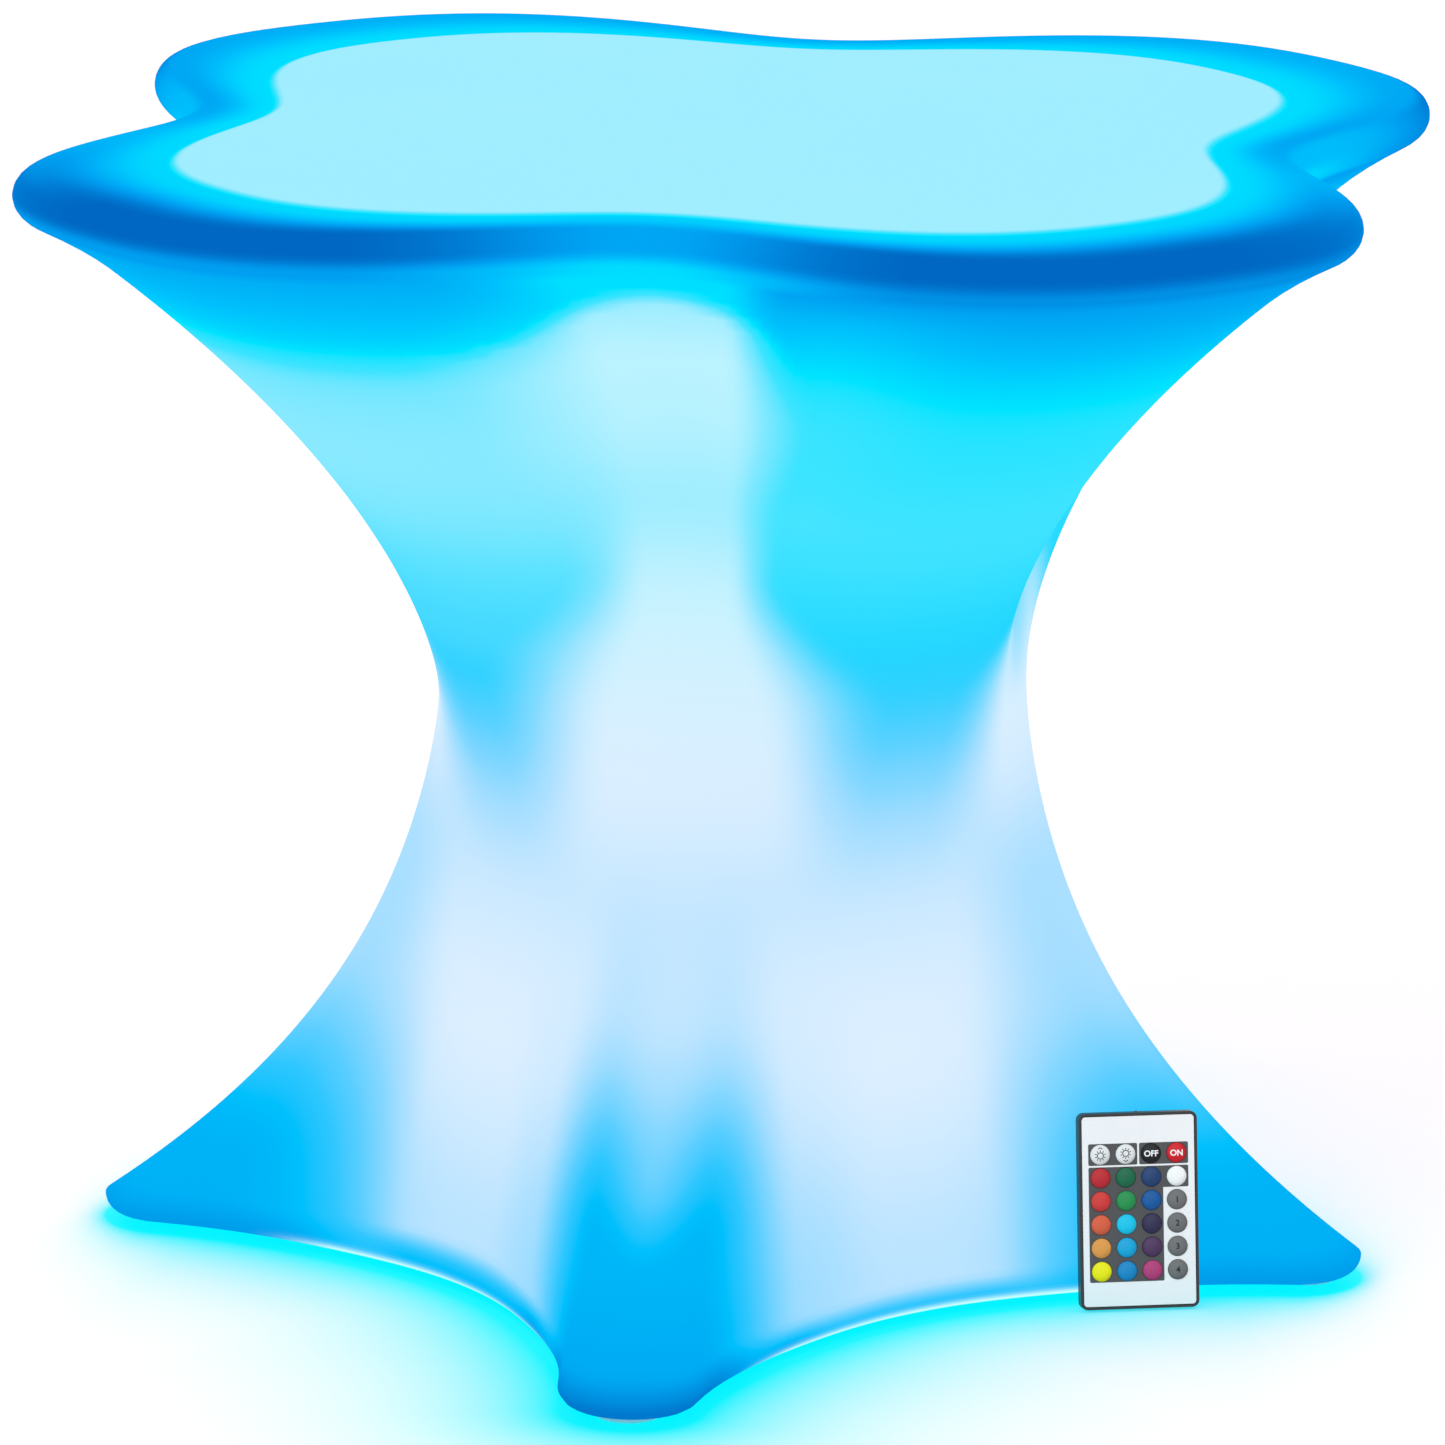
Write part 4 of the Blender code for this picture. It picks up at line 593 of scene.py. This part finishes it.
def addPiece(name, bm, material, smooth=35):
    mesh = bpy.data.meshes.new(name)
    bm.to_mesh(mesh)
    bm.free()
    mesh.shade_smooth()
    mesh.set_sharp_from_angle(angle=math.radians(smooth))
    mesh.materials.append(material)
    made = bpy.data.objects.new(name, mesh)
    scene.collection.objects.link(made)
    return made


def azimuthOf(vert):
    return math.atan2(vert.co.y, vert.co.x) % math.tau


def raiseRing(bm, edges, points, heights, layers, values):
    made = bmesh.ops.extrude_edge_only(bm, edges=edges)["geom"]
    fresh = [item for item in made if isinstance(item, bmesh.types.BMVert)]
    setRing(fresh, points, heights, layers, values)
    return [item for item in made if isinstance(item, bmesh.types.BMEdge)]


def setRing(verts, points, heights, layers, values):
    # the first angle is 0, so a vertex a hair below it is taken as 0 too
    order = sorted(verts, key=lambda vert: (azimuthOf(vert) + 1e-5) % math.tau)
    for index, vert in enumerate(order):
        vert.co = (points[index].x, points[index].y, heights[index])
        for layer, value in zip(layers, values):
            vert[layer] = value[index]


moulding = {
    "body": (0.0, 0.012, 0.02, 1.0), "hemTone": (0.58, 1.0, 1.0), "cloudScale": 9.0, "cloudDepth": 0.015,
    "grainScale": 900.0, "grainDepth": 0.0002, "grainStrength": 0.35, "roughness": (0.46, 0.56),
}


def glowingPlastic():
    finish = Finish("glowingPlastic", specular=0.0, glowStrength=1.0, colour=moulding["body"])
    glow = finish.attribute("glow")
    tint = finish.attribute("tint")
    cloud = finish.noise(moulding["cloudScale"], detail=2.0)       # moulded walls are never evenly thick
    level = glow + (cloud - 0.5) * moulding["cloudDepth"]
    upper = finish.ramp(level, [(at, toLinear(*tone)) for at, tone in tones["upper"]])
    lower = finish.ramp(level, [(at, toLinear(*tone)) for at, tone in tones["lower"]])
    colour = finish.mix(tint, upper, lower)
    # a painted highlight, a thin pale line along the hem, is mixed into the glow
    colour = finish.mix(finish.attribute("hemLine"), colour, moulding["hemTone"])
    grain = finish.noise(moulding["grainScale"], detail=2.0)       # fine texture of the mould
    finish.set(glow=colour, roughness=finish.spread(grain, *moulding["roughness"]),
               normal=finish.bump(grain, moulding["grainDepth"], moulding["grainStrength"]))
    return finish.material


def makeShell():
    angles = shellAngles()
    rings = shellRings(angles)
    bm = bmesh.new()
    layers = [bm.verts.layers.float.new(name) for name in ("glow", "tint", "hemLine")]
    bmesh.ops.create_circle(bm, segments=len(angles), radius=shell["port"])
    setRing(list(bm.verts), rings[0][0], rings[0][1], layers, rings[0][2:])
    edges = list(bm.edges)
    for points, heights, *values in rings[1:]:
        edges = raiseRing(bm, edges, points, heights, layers, values)
    middle = bmesh.ops.extrude_edge_only(bm, edges=edges)["geom"]
    tip = [item for item in middle if isinstance(item, bmesh.types.BMVert)]
    bmesh.ops.pointmerge(bm, verts=tip, merge_co=(0.0, 0.0, shell["height"]))
    bmesh.ops.recalc_face_normals(bm, faces=bm.faces)
    if max(bm.faces, key=lambda face: face.calc_center_median().z).normal.z < 0:
        bmesh.ops.reverse_faces(bm, faces=bm.faces)
    piece = addPiece("tableShell", bm, glowingPlastic(), smooth=50)
    wall = piece.modifiers.new("wall", "SOLIDIFY")
    wall.thickness = shell["wall"]
    wall.offset = -1.0
    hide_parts("table_shell")
    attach(piece, "table")


makeShell()
print("shell made")


# remote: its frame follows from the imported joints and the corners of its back

remote = {
    "width": 0.052, "length": 0.085, "corner": 0.003, "wall": 0.0011, "gap": 0.0003,
    "faceFront": 0.0066, "faceThick": 0.0010, "sideMargin": 0.009275, "topMargin": 0.0178,
    "footMargin": 0.0165, "keyRadius": 0.0043, "keyRest": 0.0055, "keyTop": 0.0075, "crown": 0.0005,
    "keyRound": 0.00015, "roundShare": 0.3, "collar": 0.0003, "collarThick": 0.0004, "hole": 0.00445,
    "keySteps": 44, "domeRings": 8, "cornerSteps": 8, "textTall": 0.0027, "textBold": 0.025,
    "markDepth": 0.01, "markLift": 0.00003, "markCell": 0.0005, "markCells": 6,
}
# the printed zones, in millimetres round the keys
facePrint = {
    "side": 5.2, "up": 4.7, "split": 0.4, "corner": 0.7,
    "pale": ((234, 234, 235), (240, 240, 241)), "ink": ((74, 74, 76), (84, 84, 86)), "shadeScale": 60.0,
    "grainScale": 2400.0, "grainDepth": 0.00002, "grainStrength": 0.2, "roughness": (0.34, 0.44),
    "specular": 0.25,
}
# a key is glossy; its colour has a painted highlight, paler where the dome faces the light, and painted
# shade, deeper at its foot
keyLook = {
    "deep": 0.62, "pale": 1.08, "paleLift": 0.035, "shadeScale": 260.0, "shadeDepth": 0.06,
    "grainScale": 1500.0, "roughness": (0.20, 0.28), "specular": 0.14, "coat": 0.06, "coatRoughness": 0.12,
    "middle": 0.62, "upward": 0.30, "leftward": 0.16, "rimFall": 0.34,
}
inkLook = {
    "dark": (30, 30, 32), "pale": (240, 240, 240), "lift": 10, "scale": 800.0, "specular": 0.3,
    "roughness": (0.45, 0.55),
}
# a sun symbol: its sizes after the first three are shares of its radius, but tipShare of its line
sun = {
    "radius": 0.0015, "line": 0.00036, "rays": 10, "rayStart": 1.12, "rayEnd": 1.62, "arrowTip": 2.35,
    "arrowFoot": 1.95, "arrowSpread": 0.62, "shift": 0.25, "tipShare": 0.2,
}
keyRows = (
    ("brighter", "dimmer", "off", "on"), ("red", "green", "blue", "white"),
    ("scarlet", "leaf", "azure", "flash"), ("coral", "cyan", "indigo", "strobe"),
    ("amber", "sky", "violet", "fade"), ("yellow", "ocean", "magenta", "smooth"),
)
keyTones = {
    "brighter": (225, 225, 225), "dimmer": (225, 225, 225), "off": (24, 24, 24), "on": (205, 22, 36),
    "red": (186, 36, 45), "green": (15, 102, 68), "blue": (26, 60, 108), "white": (240, 240, 238),
    "scarlet": (205, 55, 52), "leaf": (30, 140, 75), "azure": (0, 85, 152), "flash": (108, 108, 108),
    "coral": (214, 90, 60), "cyan": (0, 190, 224), "indigo": (45, 42, 76), "strobe": (108, 108, 108),
    "amber": (222, 150, 70), "sky": (0, 160, 208), "violet": (76, 48, 88), "fade": (108, 108, 108),
    "yellow": (238, 228, 5), "ocean": (0, 130, 190), "magenta": (176, 57, 113), "smooth": (108, 108, 108),
}
keyWords = {"off": "OFF", "on": "ON", "flash": "1", "strobe": "2", "fade": "3", "smooth": "4"}


def remoteFrame():
    axes = {joint["name"]: Vector(joint["axis"]).normalized() for joint in frame["joints"]}
    out = -axes["key_on_press"]
    up = -axes["battery_drawer_pull"]
    across = up.cross(out)
    corners = [vert.co for vert in nodes["remote_back"].data.vertices]
    sides = [corner.dot(across) for corner in corners]
    origin = (across * (min(sides) + max(sides)) / 2 + up * min(corner.dot(up) for corner in corners)
              + out * min(corner.dot(out) for corner in corners))
    return Matrix.Translation(origin) @ Matrix((across, up, out)).transposed().to_4x4()


def keyPlace(row, column):
    across = remote["sideMargin"] + (remote["width"] - 2 * remote["sideMargin"]) * column / 3
    down = remote["topMargin"] + (remote["length"] - remote["topMargin"] - remote["footMargin"]) * row / 5
    return across - remote["width"] / 2, remote["length"] - down


def settle(piece, body, slot, *replaced):
    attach(piece, body)
    if replaced:
        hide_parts(*replaced)
    return piece


def spun(bm, profile, steps):
    verts = [bm.verts.new((radius, 0.0, height)) for radius, height in profile]
    edges = [bm.edges.new(pair) for pair in zip(verts, verts[1:])]
    bmesh.ops.spin(bm, geom=verts + edges, cent=(0, 0, 0), axis=(0, 0, 1), angle=math.tau, steps=steps,
                   use_merge=True)
    bmesh.ops.remove_doubles(bm, verts=bm.verts, dist=1e-7)
    bmesh.ops.recalc_face_normals(bm, faces=bm.faces)


def ringEdges(bm, points, height):
    verts = [bm.verts.new((x, y, height)) for x, y in points]
    return [bm.edges.new((verts[index - 1], verts[index])) for index in range(len(verts))]


def roundedCard(inset):
    halfWide, halfTall = remote["width"] / 2 - inset, remote["length"] / 2 - inset
    radius, steps = remote["corner"] - inset, remote["cornerSteps"]
    points = []
    for turn, (signX, signY) in enumerate(((1, 1), (-1, 1), (-1, -1), (1, -1))):
        for step in range(steps + 1):
            angle = math.tau / 4 * (turn + step / steps)
            points.append((signX * (halfWide - radius) + radius * math.cos(angle),
                           remote["length"] / 2 + signY * (halfTall - radius) + radius * math.sin(angle)))
    return points


def circleAt(place, radius, steps):
    return [(place[0] + radius * math.cos(math.tau * step / steps),
             place[1] + radius * math.sin(math.tau * step / steps)) for step in range(steps)]


def zone(across, up, left, right, low, high):       # 1 inside a box with rounded corners, in millimetres
    corner = facePrint["corner"]
    beside = (abs(across - (left + right) / 2) - ((right - left) / 2 - corner)) | 0.0
    above = (abs(up - (low + high) / 2) - ((high - low) / 2 - corner)) | 0.0
    return (beside * beside + above * above) < corner * corner


def faceFinish():
    finish = Finish("printedFace", specular=facePrint["specular"])
    place = finish.node("ShaderNodeSeparateXYZ", None, {0: finish.node("ShaderNodeUVMap")})
    wide, tall = remote["width"] * 1000, remote["length"] * 1000
    across = (place - 0.5) * wide
    up = Wire(finish, place.socket.node.outputs[1]) * tall
    columns = [keyPlace(0, column)[0] * 1000 for column in range(4)]
    rows = [keyPlace(row, 0)[1] * 1000 for row in range(6)]
    side, reach, split = facePrint["side"], facePrint["up"], facePrint["split"]
    top = (rows[0] - reach, rows[0] + reach)
    dark = (zone(across, up, columns[0] - side, -split, *top)
            | zone(across, up, split, columns[3] + side, *top)
            | zone(across, up, columns[0] - side, columns[3] + side, rows[1] - reach, rows[1] + reach)
            | zone(across, up, columns[0] - side, columns[2] + side, rows[5] - reach, rows[1] + reach))
    shade = finish.noise(facePrint["shadeScale"])
    pale = finish.mix(shade, *[toLinear(*tone) for tone in facePrint["pale"]])
    ink = finish.mix(shade, *[toLinear(*tone) for tone in facePrint["ink"]])
    grain = finish.noise(facePrint["grainScale"], detail=2.0)
    return finish.set(colour=finish.mix(dark, pale, ink),
                      roughness=finish.spread(grain, *facePrint["roughness"]),
                      normal=finish.bump(grain, facePrint["grainDepth"], facePrint["grainStrength"])).material


def makeFace(place):
    bm = bmesh.new()
    inset = remote["wall"] + remote["gap"]
    edges = ringEdges(bm, roundedCard(inset), remote["faceFront"])
    for row in range(6):
        for column in range(4):
            edges += ringEdges(bm, circleAt(keyPlace(row, column), remote["hole"], remote["keySteps"]),
                               remote["faceFront"])
    bmesh.ops.triangle_fill(bm, use_beauty=True, use_dissolve=False, edges=edges)
    for face in bm.faces:
        if face.normal.z < 0:
            face.normal_flip()
    layer = bm.loops.layers.uv.new("print")
    for face in bm.faces:
        for loop in face.loops:
            loop[layer].uv = (loop.vert.co.x / remote["width"] + 0.5, loop.vert.co.y / remote["length"])
    bmesh.ops.transform(bm, matrix=place, verts=bm.verts)
    piece = addPiece("remoteFace", bm, faceFinish())
    piece.data.shade_flat()
    sheet = piece.modifiers.new("sheet", "SOLIDIFY")
    sheet.thickness = remote["faceThick"]
    sheet.offset = -1.0
    settle(piece, "remote", "white_plastic", "remote_face")


def domeHeight(radius):
    return remote["keyTop"] - remote["crown"] * (radius / remote["keyRadius"]) ** 2


def keyFinish(name):
    finish = Finish(name + "Key", specular=keyLook["specular"], coat=keyLook["coat"],
                    coatRoughness=keyLook["coatRoughness"])
    # deep is the painted shade of the key's colour and pale its painted highlight
    tone = toLinear(*keyTones[name])
    deep = [value * keyLook["deep"] for value in tone]
    pale = [min(1.0, value * keyLook["pale"] + keyLook["paleLift"]) for value in tone]
    shade = finish.noise(keyLook["shadeScale"], detail=2.0)
    grain = finish.noise(keyLook["grainScale"], detail=2.0)
    light = finish.attribute("light") + (shade - 0.5) * keyLook["shadeDepth"]
    return finish.set(colour=finish.ramp(light, [(0.0, deep), (0.5, tone), (1.0, pale)]),
                      roughness=finish.spread(grain, *keyLook["roughness"])).material


def makeKey(name, place, spot):
    radius, rest = remote["keyRadius"], remote["keyRest"]
    wide, low = radius + remote["collar"], rest - remote["collarThick"]
    edge, rounded = remote["keyRound"], remote["keyRound"] * remote["roundShare"]
    profile = [(0.0, low), (wide, low), (wide, rest), (radius, rest), (radius, domeHeight(radius) - edge),
               (radius - rounded, domeHeight(radius) - rounded)]
    for step in range(remote["domeRings"] + 1):
        out = (radius - edge) * (1 - step / remote["domeRings"])
        profile.append((out, domeHeight(out)))
    bm = bmesh.new()
    spun(bm, profile, remote["keySteps"])
    # painted light on the dome: lighter toward the upper left, with painted shade toward its rim
    light = bm.verts.layers.float.new("light")
    for vert in bm.verts:
        out = math.hypot(vert.co.x, vert.co.y) / radius
        vert[light] = (keyLook["middle"] + keyLook["upward"] * vert.co.y / radius
                       - keyLook["leftward"] * vert.co.x / radius - keyLook["rimFall"] * out ** 4)
    bmesh.ops.transform(bm, matrix=place @ Matrix.Translation((*spot, 0.0)), verts=bm.verts)
    piece = addPiece(name + "Key", bm, keyFinish(name), smooth=32)
    settle(piece, "key_" + name, "key_" + name, "key_" + name)


def wordMesh(word):
    curve = bpy.data.curves.new("word", "FONT")
    curve.body = word
    curve.align_x = "CENTER"
    curve.extrude = remote["markDepth"]
    curve.offset = remote["textBold"]
    curve.resolution_u = 4
    holder = bpy.data.objects.new("word", curve)
    scene.collection.objects.link(holder)
    mesh = bpy.data.meshes.new_from_object(holder.evaluated_get(bpy.context.evaluated_depsgraph_get()))
    bpy.data.objects.remove(holder)
    bm = bmesh.new()
    bm.from_mesh(mesh)
    bpy.data.meshes.remove(mesh)
    bmesh.ops.remove_doubles(bm, verts=bm.verts, dist=1e-5)
    low = min(vert.co.y for vert in bm.verts)
    high = max(vert.co.y for vert in bm.verts)
    grow = remote["textTall"] / (high - low)
    for vert in bm.verts:
        vert.co.x *= grow
        vert.co.y = (vert.co.y - (low + high) / 2) * grow
    return bm


def addBar(bm, start, end, width):
    along = Vector(end) - Vector(start)
    turn = Matrix.Rotation(math.atan2(along.y, along.x), 4, "Z")
    middle = (Vector(start) + Vector(end)) / 2
    bmesh.ops.create_cube(bm, size=1.0, matrix=Matrix.Translation((*middle, 0.0)) @ turn
                          @ Matrix.Diagonal((along.length, width, remote["markDepth"], 1.0)))


def sunMesh(sign):
    # ring with rays, and a small arrow head above or below it
    bm = bmesh.new()
    line, radius, depth = sun["line"], sun["radius"], remote["markDepth"]
    profile = [(radius, -depth), (radius, depth), (radius - line, depth), (radius - line, -depth),
               (radius, -depth)]
    spun(bm, profile, remote["keySteps"])
    for ray in range(sun["rays"]):
        angle = math.tau * (ray + 0.5) / sun["rays"]
        away = Vector((math.cos(angle), math.sin(angle)))
        addBar(bm, away * radius * sun["rayStart"], away * radius * sun["rayEnd"], line)
    tip, foot = radius * sun["arrowTip"] * sign, radius * sun["arrowFoot"] * sign
    for side in (-1, 1):
        addBar(bm, (side * radius * sun["arrowSpread"], foot), (side * line * sun["tipShare"], tip), line)
    bmesh.ops.translate(bm, verts=bm.verts, vec=(0.0, -sun["shift"] * radius * sign, 0.0))
    return bm


def makeMark(name, bm, place, spot, look, slot):
    # cut into small cells first, so that it can follow the dome
    for axis in ((1, 0, 0), (0, 1, 0)):
        for step in range(-remote["markCells"], remote["markCells"] + 1):
            bmesh.ops.bisect_plane(bm, geom=list(bm.verts) + list(bm.edges) + list(bm.faces), dist=1e-7,
                                   plane_co=Vector(axis) * step * remote["markCell"], plane_no=axis)
    for vert in bm.verts:
        lift = remote["markLift"] if vert.co.z > 0 else -remote["markLift"]
        vert.co.z = domeHeight(math.hypot(vert.co.x, vert.co.y)) + lift
    bmesh.ops.recalc_face_normals(bm, faces=bm.faces)
    bmesh.ops.transform(bm, matrix=place @ Matrix.Translation((*spot, 0.0)), verts=bm.verts)
    settle(addPiece(name + "Mark", bm, look, smooth=30), "key_" + name, slot)


def inkFinish(kind):
    finish = Finish(kind + "Ink", specular=inkLook["specular"])
    shade = finish.noise(inkLook["scale"], detail=2.0)
    tone = inkLook[kind]
    lighter = [value + inkLook["lift"] for value in tone]
    return finish.set(colour=finish.mix(shade, toLinear(*tone), toLinear(*lighter)),
                      roughness=finish.spread(shade, *inkLook["roughness"])).material


def makeRemote():
    place = remoteFrame()
    makeFace(place)
    dark, pale = inkFinish("dark"), inkFinish("pale")
    for row, names in enumerate(keyRows):
        for column, name in enumerate(names):
            spot = keyPlace(row, column)
            makeKey(name, place, spot)
            if name in keyWords:
                white = name in ("off", "on")
                makeMark(name, wordMesh(keyWords[name]), place, spot, pale if white else dark,
                         "white_plastic" if white else "black_plastic")
    makeMark("brighter", sunMesh(1), place, keyPlace(0, 0), dark, "black_plastic")
    makeMark("dimmer", sunMesh(-1), place, keyPlace(0, 1), dark, "black_plastic")


makeRemote()
print("remote made")


# the other pieces keep the solids' shapes, with soft edges where they can be seen

softEdges = {
    "remote_back": 0.0003, "light_housing": 0.0005, "power_button": 0.0004, "charging_socket": 0.0002,
    "port_plug": 0.0003, "plug_strap": 0.0002, "charge_light": 0.0002, "seat_gasket": 0.0003,
    "battery_tray": 0.0002, "infrared_emitter": 0.0001, "socket_nut": 0.0002, "coin_cell": 0.0002,
    "floor_pad": 0.0005, "housing_screw": 0.0003,
}
# upright round pieces, and the radius from which their edges are made rounder
roundPieces = {"light_housing": 0.05, "seat_gasket": 0.05, "power_button": 0.003, "charging_socket": 0.002,
               "port_plug": 0.003, "charge_light": 0.001, "floor_pad": 0.003, "housing_screw": 0.001}
roundMiddles = {"port_plug": (0.012, -0.027)}
plainGrain = {"scale": 1200.0, "depth": 0.00005, "strength": 0.25, "roughness": 0.05}


def valueFor(table, name):         # the pads share one entry, and so do the screws
    return next((value for kind, value in table.items() if name.startswith(kind)), None)


def plainFinish(name, tone, rough, spread=0.05, scale=140.0, **fixed):
    finish = Finish(name, **fixed)
    shade = finish.noise(scale)
    grain = finish.noise(plainGrain["scale"], detail=2.0)
    darker = [value * (1 - spread) for value in tone]
    lighter = [min(1.0, value * (1 + spread)) for value in tone]
    step = plainGrain["roughness"]
    return finish.set(colour=finish.mix(shade, darker, lighter),
                      roughness=finish.spread(grain, rough - step, rough + step),
                      normal=finish.bump(grain, plainGrain["depth"], plainGrain["strength"])).material


# spread is how far the tone varies, and scale how finely
slotLooks = {
    "white_plastic": {"tone": (0.80, 0.80, 0.79), "rough": 0.36},
    "black_plastic": {"tone": (0.021, 0.021, 0.023), "rough": 0.42, "spread": 0.12},
    "frosted_plastic": {"tone": (0.85, 0.90, 0.92), "rough": 0.5, "transmission": 0.6, "ior": 1.49},
    "pad_rubber": {"tone": (0.60, 0.64, 0.66), "rough": 0.68, "spread": 0.06},
    "seal_silicone": {"tone": (0.62, 0.62, 0.60), "rough": 0.58},
    "bright_steel": {"tone": (0.62, 0.62, 0.60), "rough": 0.27, "spread": 0.04, "metallic": 1.0},
    "board_green": {"tone": (0.02, 0.16, 0.07), "rough": 0.42, "spread": 0.3, "scale": 380.0},
    "board_white": {"tone": (0.82, 0.84, 0.82), "rough": 0.40},
    "cell_wrap": {"tone": (0.03, 0.14, 0.42), "rough": 0.25, "spread": 0.1},
    "lead_red": {"tone": (0.45, 0.02, 0.02), "rough": 0.40, "spread": 0.1},
    "clear_lens": {"tone": (0.85, 0.92, 0.98), "rough": 0.12, "spread": 0.02, "transmission": 0.9,
                   "ior": 1.45},
}


def camelName(name):
    words = name.split("_")
    return words[0] + "".join(word.title() for word in words[1:])


def roundOut(bm, middle, least):
    # every edge along a circle about the middle is cut in four and bulged out to the circle
    def reach(vert):
        return math.hypot(vert.co.x - middle[0], vert.co.y - middle[1])
    layer = bm.verts.layers.float.new("reach")
    for vert in bm.verts:
        vert[layer] = reach(vert)
    arcs = [edge for edge in bm.edges if abs(edge.verts[0].co.z - edge.verts[1].co.z) < 1e-6
            and abs(reach(edge.verts[0]) - reach(edge.verts[1])) < 1e-5 and reach(edge.verts[0]) > least]
    bmesh.ops.subdivide_edges(bm, edges=arcs, cuts=3)
    for vert in bm.verts:
        now = reach(vert)
        if vert[layer] > now + 1e-7:
            grow = vert[layer] / now
            vert.co.x = middle[0] + (vert.co.x - middle[0]) * grow
            vert.co.y = middle[1] + (vert.co.y - middle[1]) * grow
    bm.verts.layers.float.remove(layer)


def softCopy(name, width, look, slot):
    bm = bmesh.new()
    bm.from_mesh(nodes[name].data)
    bmesh.ops.remove_doubles(bm, verts=bm.verts, dist=1e-6)
    bmesh.ops.dissolve_limit(bm, angle_limit=math.radians(1), verts=bm.verts, edges=bm.edges)
    least = valueFor(roundPieces, name)
    if least:
        low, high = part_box(name)
        roundOut(bm, roundMiddles.get(name, [(low[0] + high[0]) / 2, (low[1] + high[1]) / 2]), least)
    piece = addPiece(camelName(name), bm, look, smooth=32)
    soft = piece.modifiers.new("softEdge", "BEVEL")
    soft.width = width
    soft.segments = 2
    soft.limit_method = "ANGLE"
    soft.angle_limit = math.radians(40)
    settle(piece, body_of(nodes[name])[0], slot, name)


def dressOtherNodes():
    finishes = {slot: plainFinish(camelName(slot), **look) for slot, look in slotLooks.items()}
    slots = {row["node"]: row["material_slot"] for row in frame["record"]["subparts"]}
    for name, node in nodes.items():
        if node.hide_render:
            continue
        look = finishes[slots[name]]
        width = valueFor(softEdges, name)
        if width:
            softCopy(name, width, look, slots[name])
            continue
        for held in node.material_slots:
            held.material = look


dressOtherNodes()
print("other pieces dressed")


# floor, with the light of the table on it close to the hem

floorGlow = {
    "nearSteps": 26, "nearCrowd": 1.3, "farSteps": 24, "farCrowd": 1.2, "near": 0.07, "ring": 0.52,
    "edge": 6.8, "under": 0.02, "level": 0.0, "reach": 0.22, "reachPower": 0.3, "fade": 0.050,
    "fadePower": 1.1, "middleFade": (0.015, 0.05, 0.14), "tips": (0.22, 0.265), "tipFade": 0.040,
    "sideFade": 0.006, "white": ((0.95, 0.95, 0.95), (0.975, 0.975, 0.975)), "unlit": (0.17, 0.06, 0.05),
    "lit": (0, 240, 255), "litBody": (0.0, 0.03, 0.04), "shadeScale": 6.0,
}


def floorFinish():
    finish = Finish("paleFloor", specular=0.2, roughness=0.7, glowStrength=1.0)
    lit = finish.attribute("lit")
    shade = finish.noise(floorGlow["shadeScale"], detail=2.0)
    white = finish.mix(shade, *floorGlow["white"])
    glow = finish.ramp(lit, [(0.0, floorGlow["unlit"]), (1.0, toLinear(*floorGlow["lit"]))])
    return finish.set(colour=finish.mix(lit, white, floorGlow["litBody"]), glow=glow).material


def floorLight(spot, hem):
    # fades with the distance from the hem, and sooner beside the feet than in front of and behind the table
    near, _, away = hem.find((spot.x, spot.y, 0.0))
    aside = abs(spot.x - near.x) / away
    tip = floorGlow["sideFade"] + floorGlow["tipFade"] * (1 - aside ** 0.5)
    plain = floorGlow["fade"] + fall(abs(near.x), *floorGlow["middleFade"])
    fade = plain + (tip - plain) * smoothStep(abs(near.x), *floorGlow["tips"])
    within = max(0.0, 1 - away / floorGlow["reach"])
    return math.exp(-(away / fade) ** floorGlow["fadePower"]) * within ** floorGlow["reachPower"]


def makeFloor():
    angles = shellAngles()
    bm = bmesh.new()
    layer = bm.verts.layers.float.new("lit")
    bmesh.ops.create_circle(bm, segments=len(angles), radius=shell["port"])
    hem = kdtree.KDTree(len(angles))
    for index, point in enumerate(planRing(hemAt, angles)):
        hem.insert((point.x, point.y, 0.0), index)
    hem.balance()
    rings = [planRing(hemAt, angles, -floorGlow["under"]), planRing(hemAt, angles)]
    for step in range(1, floorGlow["nearSteps"] + 1):
        share = (step / floorGlow["nearSteps"]) ** floorGlow["nearCrowd"]
        rings.append(planRing(hemAt, angles, floorGlow["near"] * share))
    start, end = rings[-1], planRing(lambda a: floorGlow["ring"], angles)
    for step in range(1, floorGlow["farSteps"] + 1):
        share = (step / floorGlow["farSteps"]) ** floorGlow["farCrowd"]
        rings.append([first.lerp(second, share) for first, second in zip(start, end)])
    rings.append(planRing(lambda a: floorGlow["edge"], angles))
    levels = [floorGlow["level"]] * len(angles)
    edges = list(bm.edges)
    inner = list(edges)
    for step, points in enumerate(rings):           # the first two lie under the hem
        lit = [1.0 if step < 2 else floorLight(point, hem) for point in points]
        if step:
            edges = raiseRing(bm, edges, points, levels, [layer], [lit])
        else:
            setRing(list(bm.verts), points, levels, [layer], [lit])
    bmesh.ops.contextual_create(bm, geom=inner)
    bmesh.ops.recalc_face_normals(bm, faces=bm.faces)
    if max(bm.faces, key=lambda face: face.calc_area()).normal.z < 0:
        bmesh.ops.reverse_faces(bm, faces=bm.faces)
    addPiece("floor", bm, floorFinish())


makeFloor()
print("floor made")
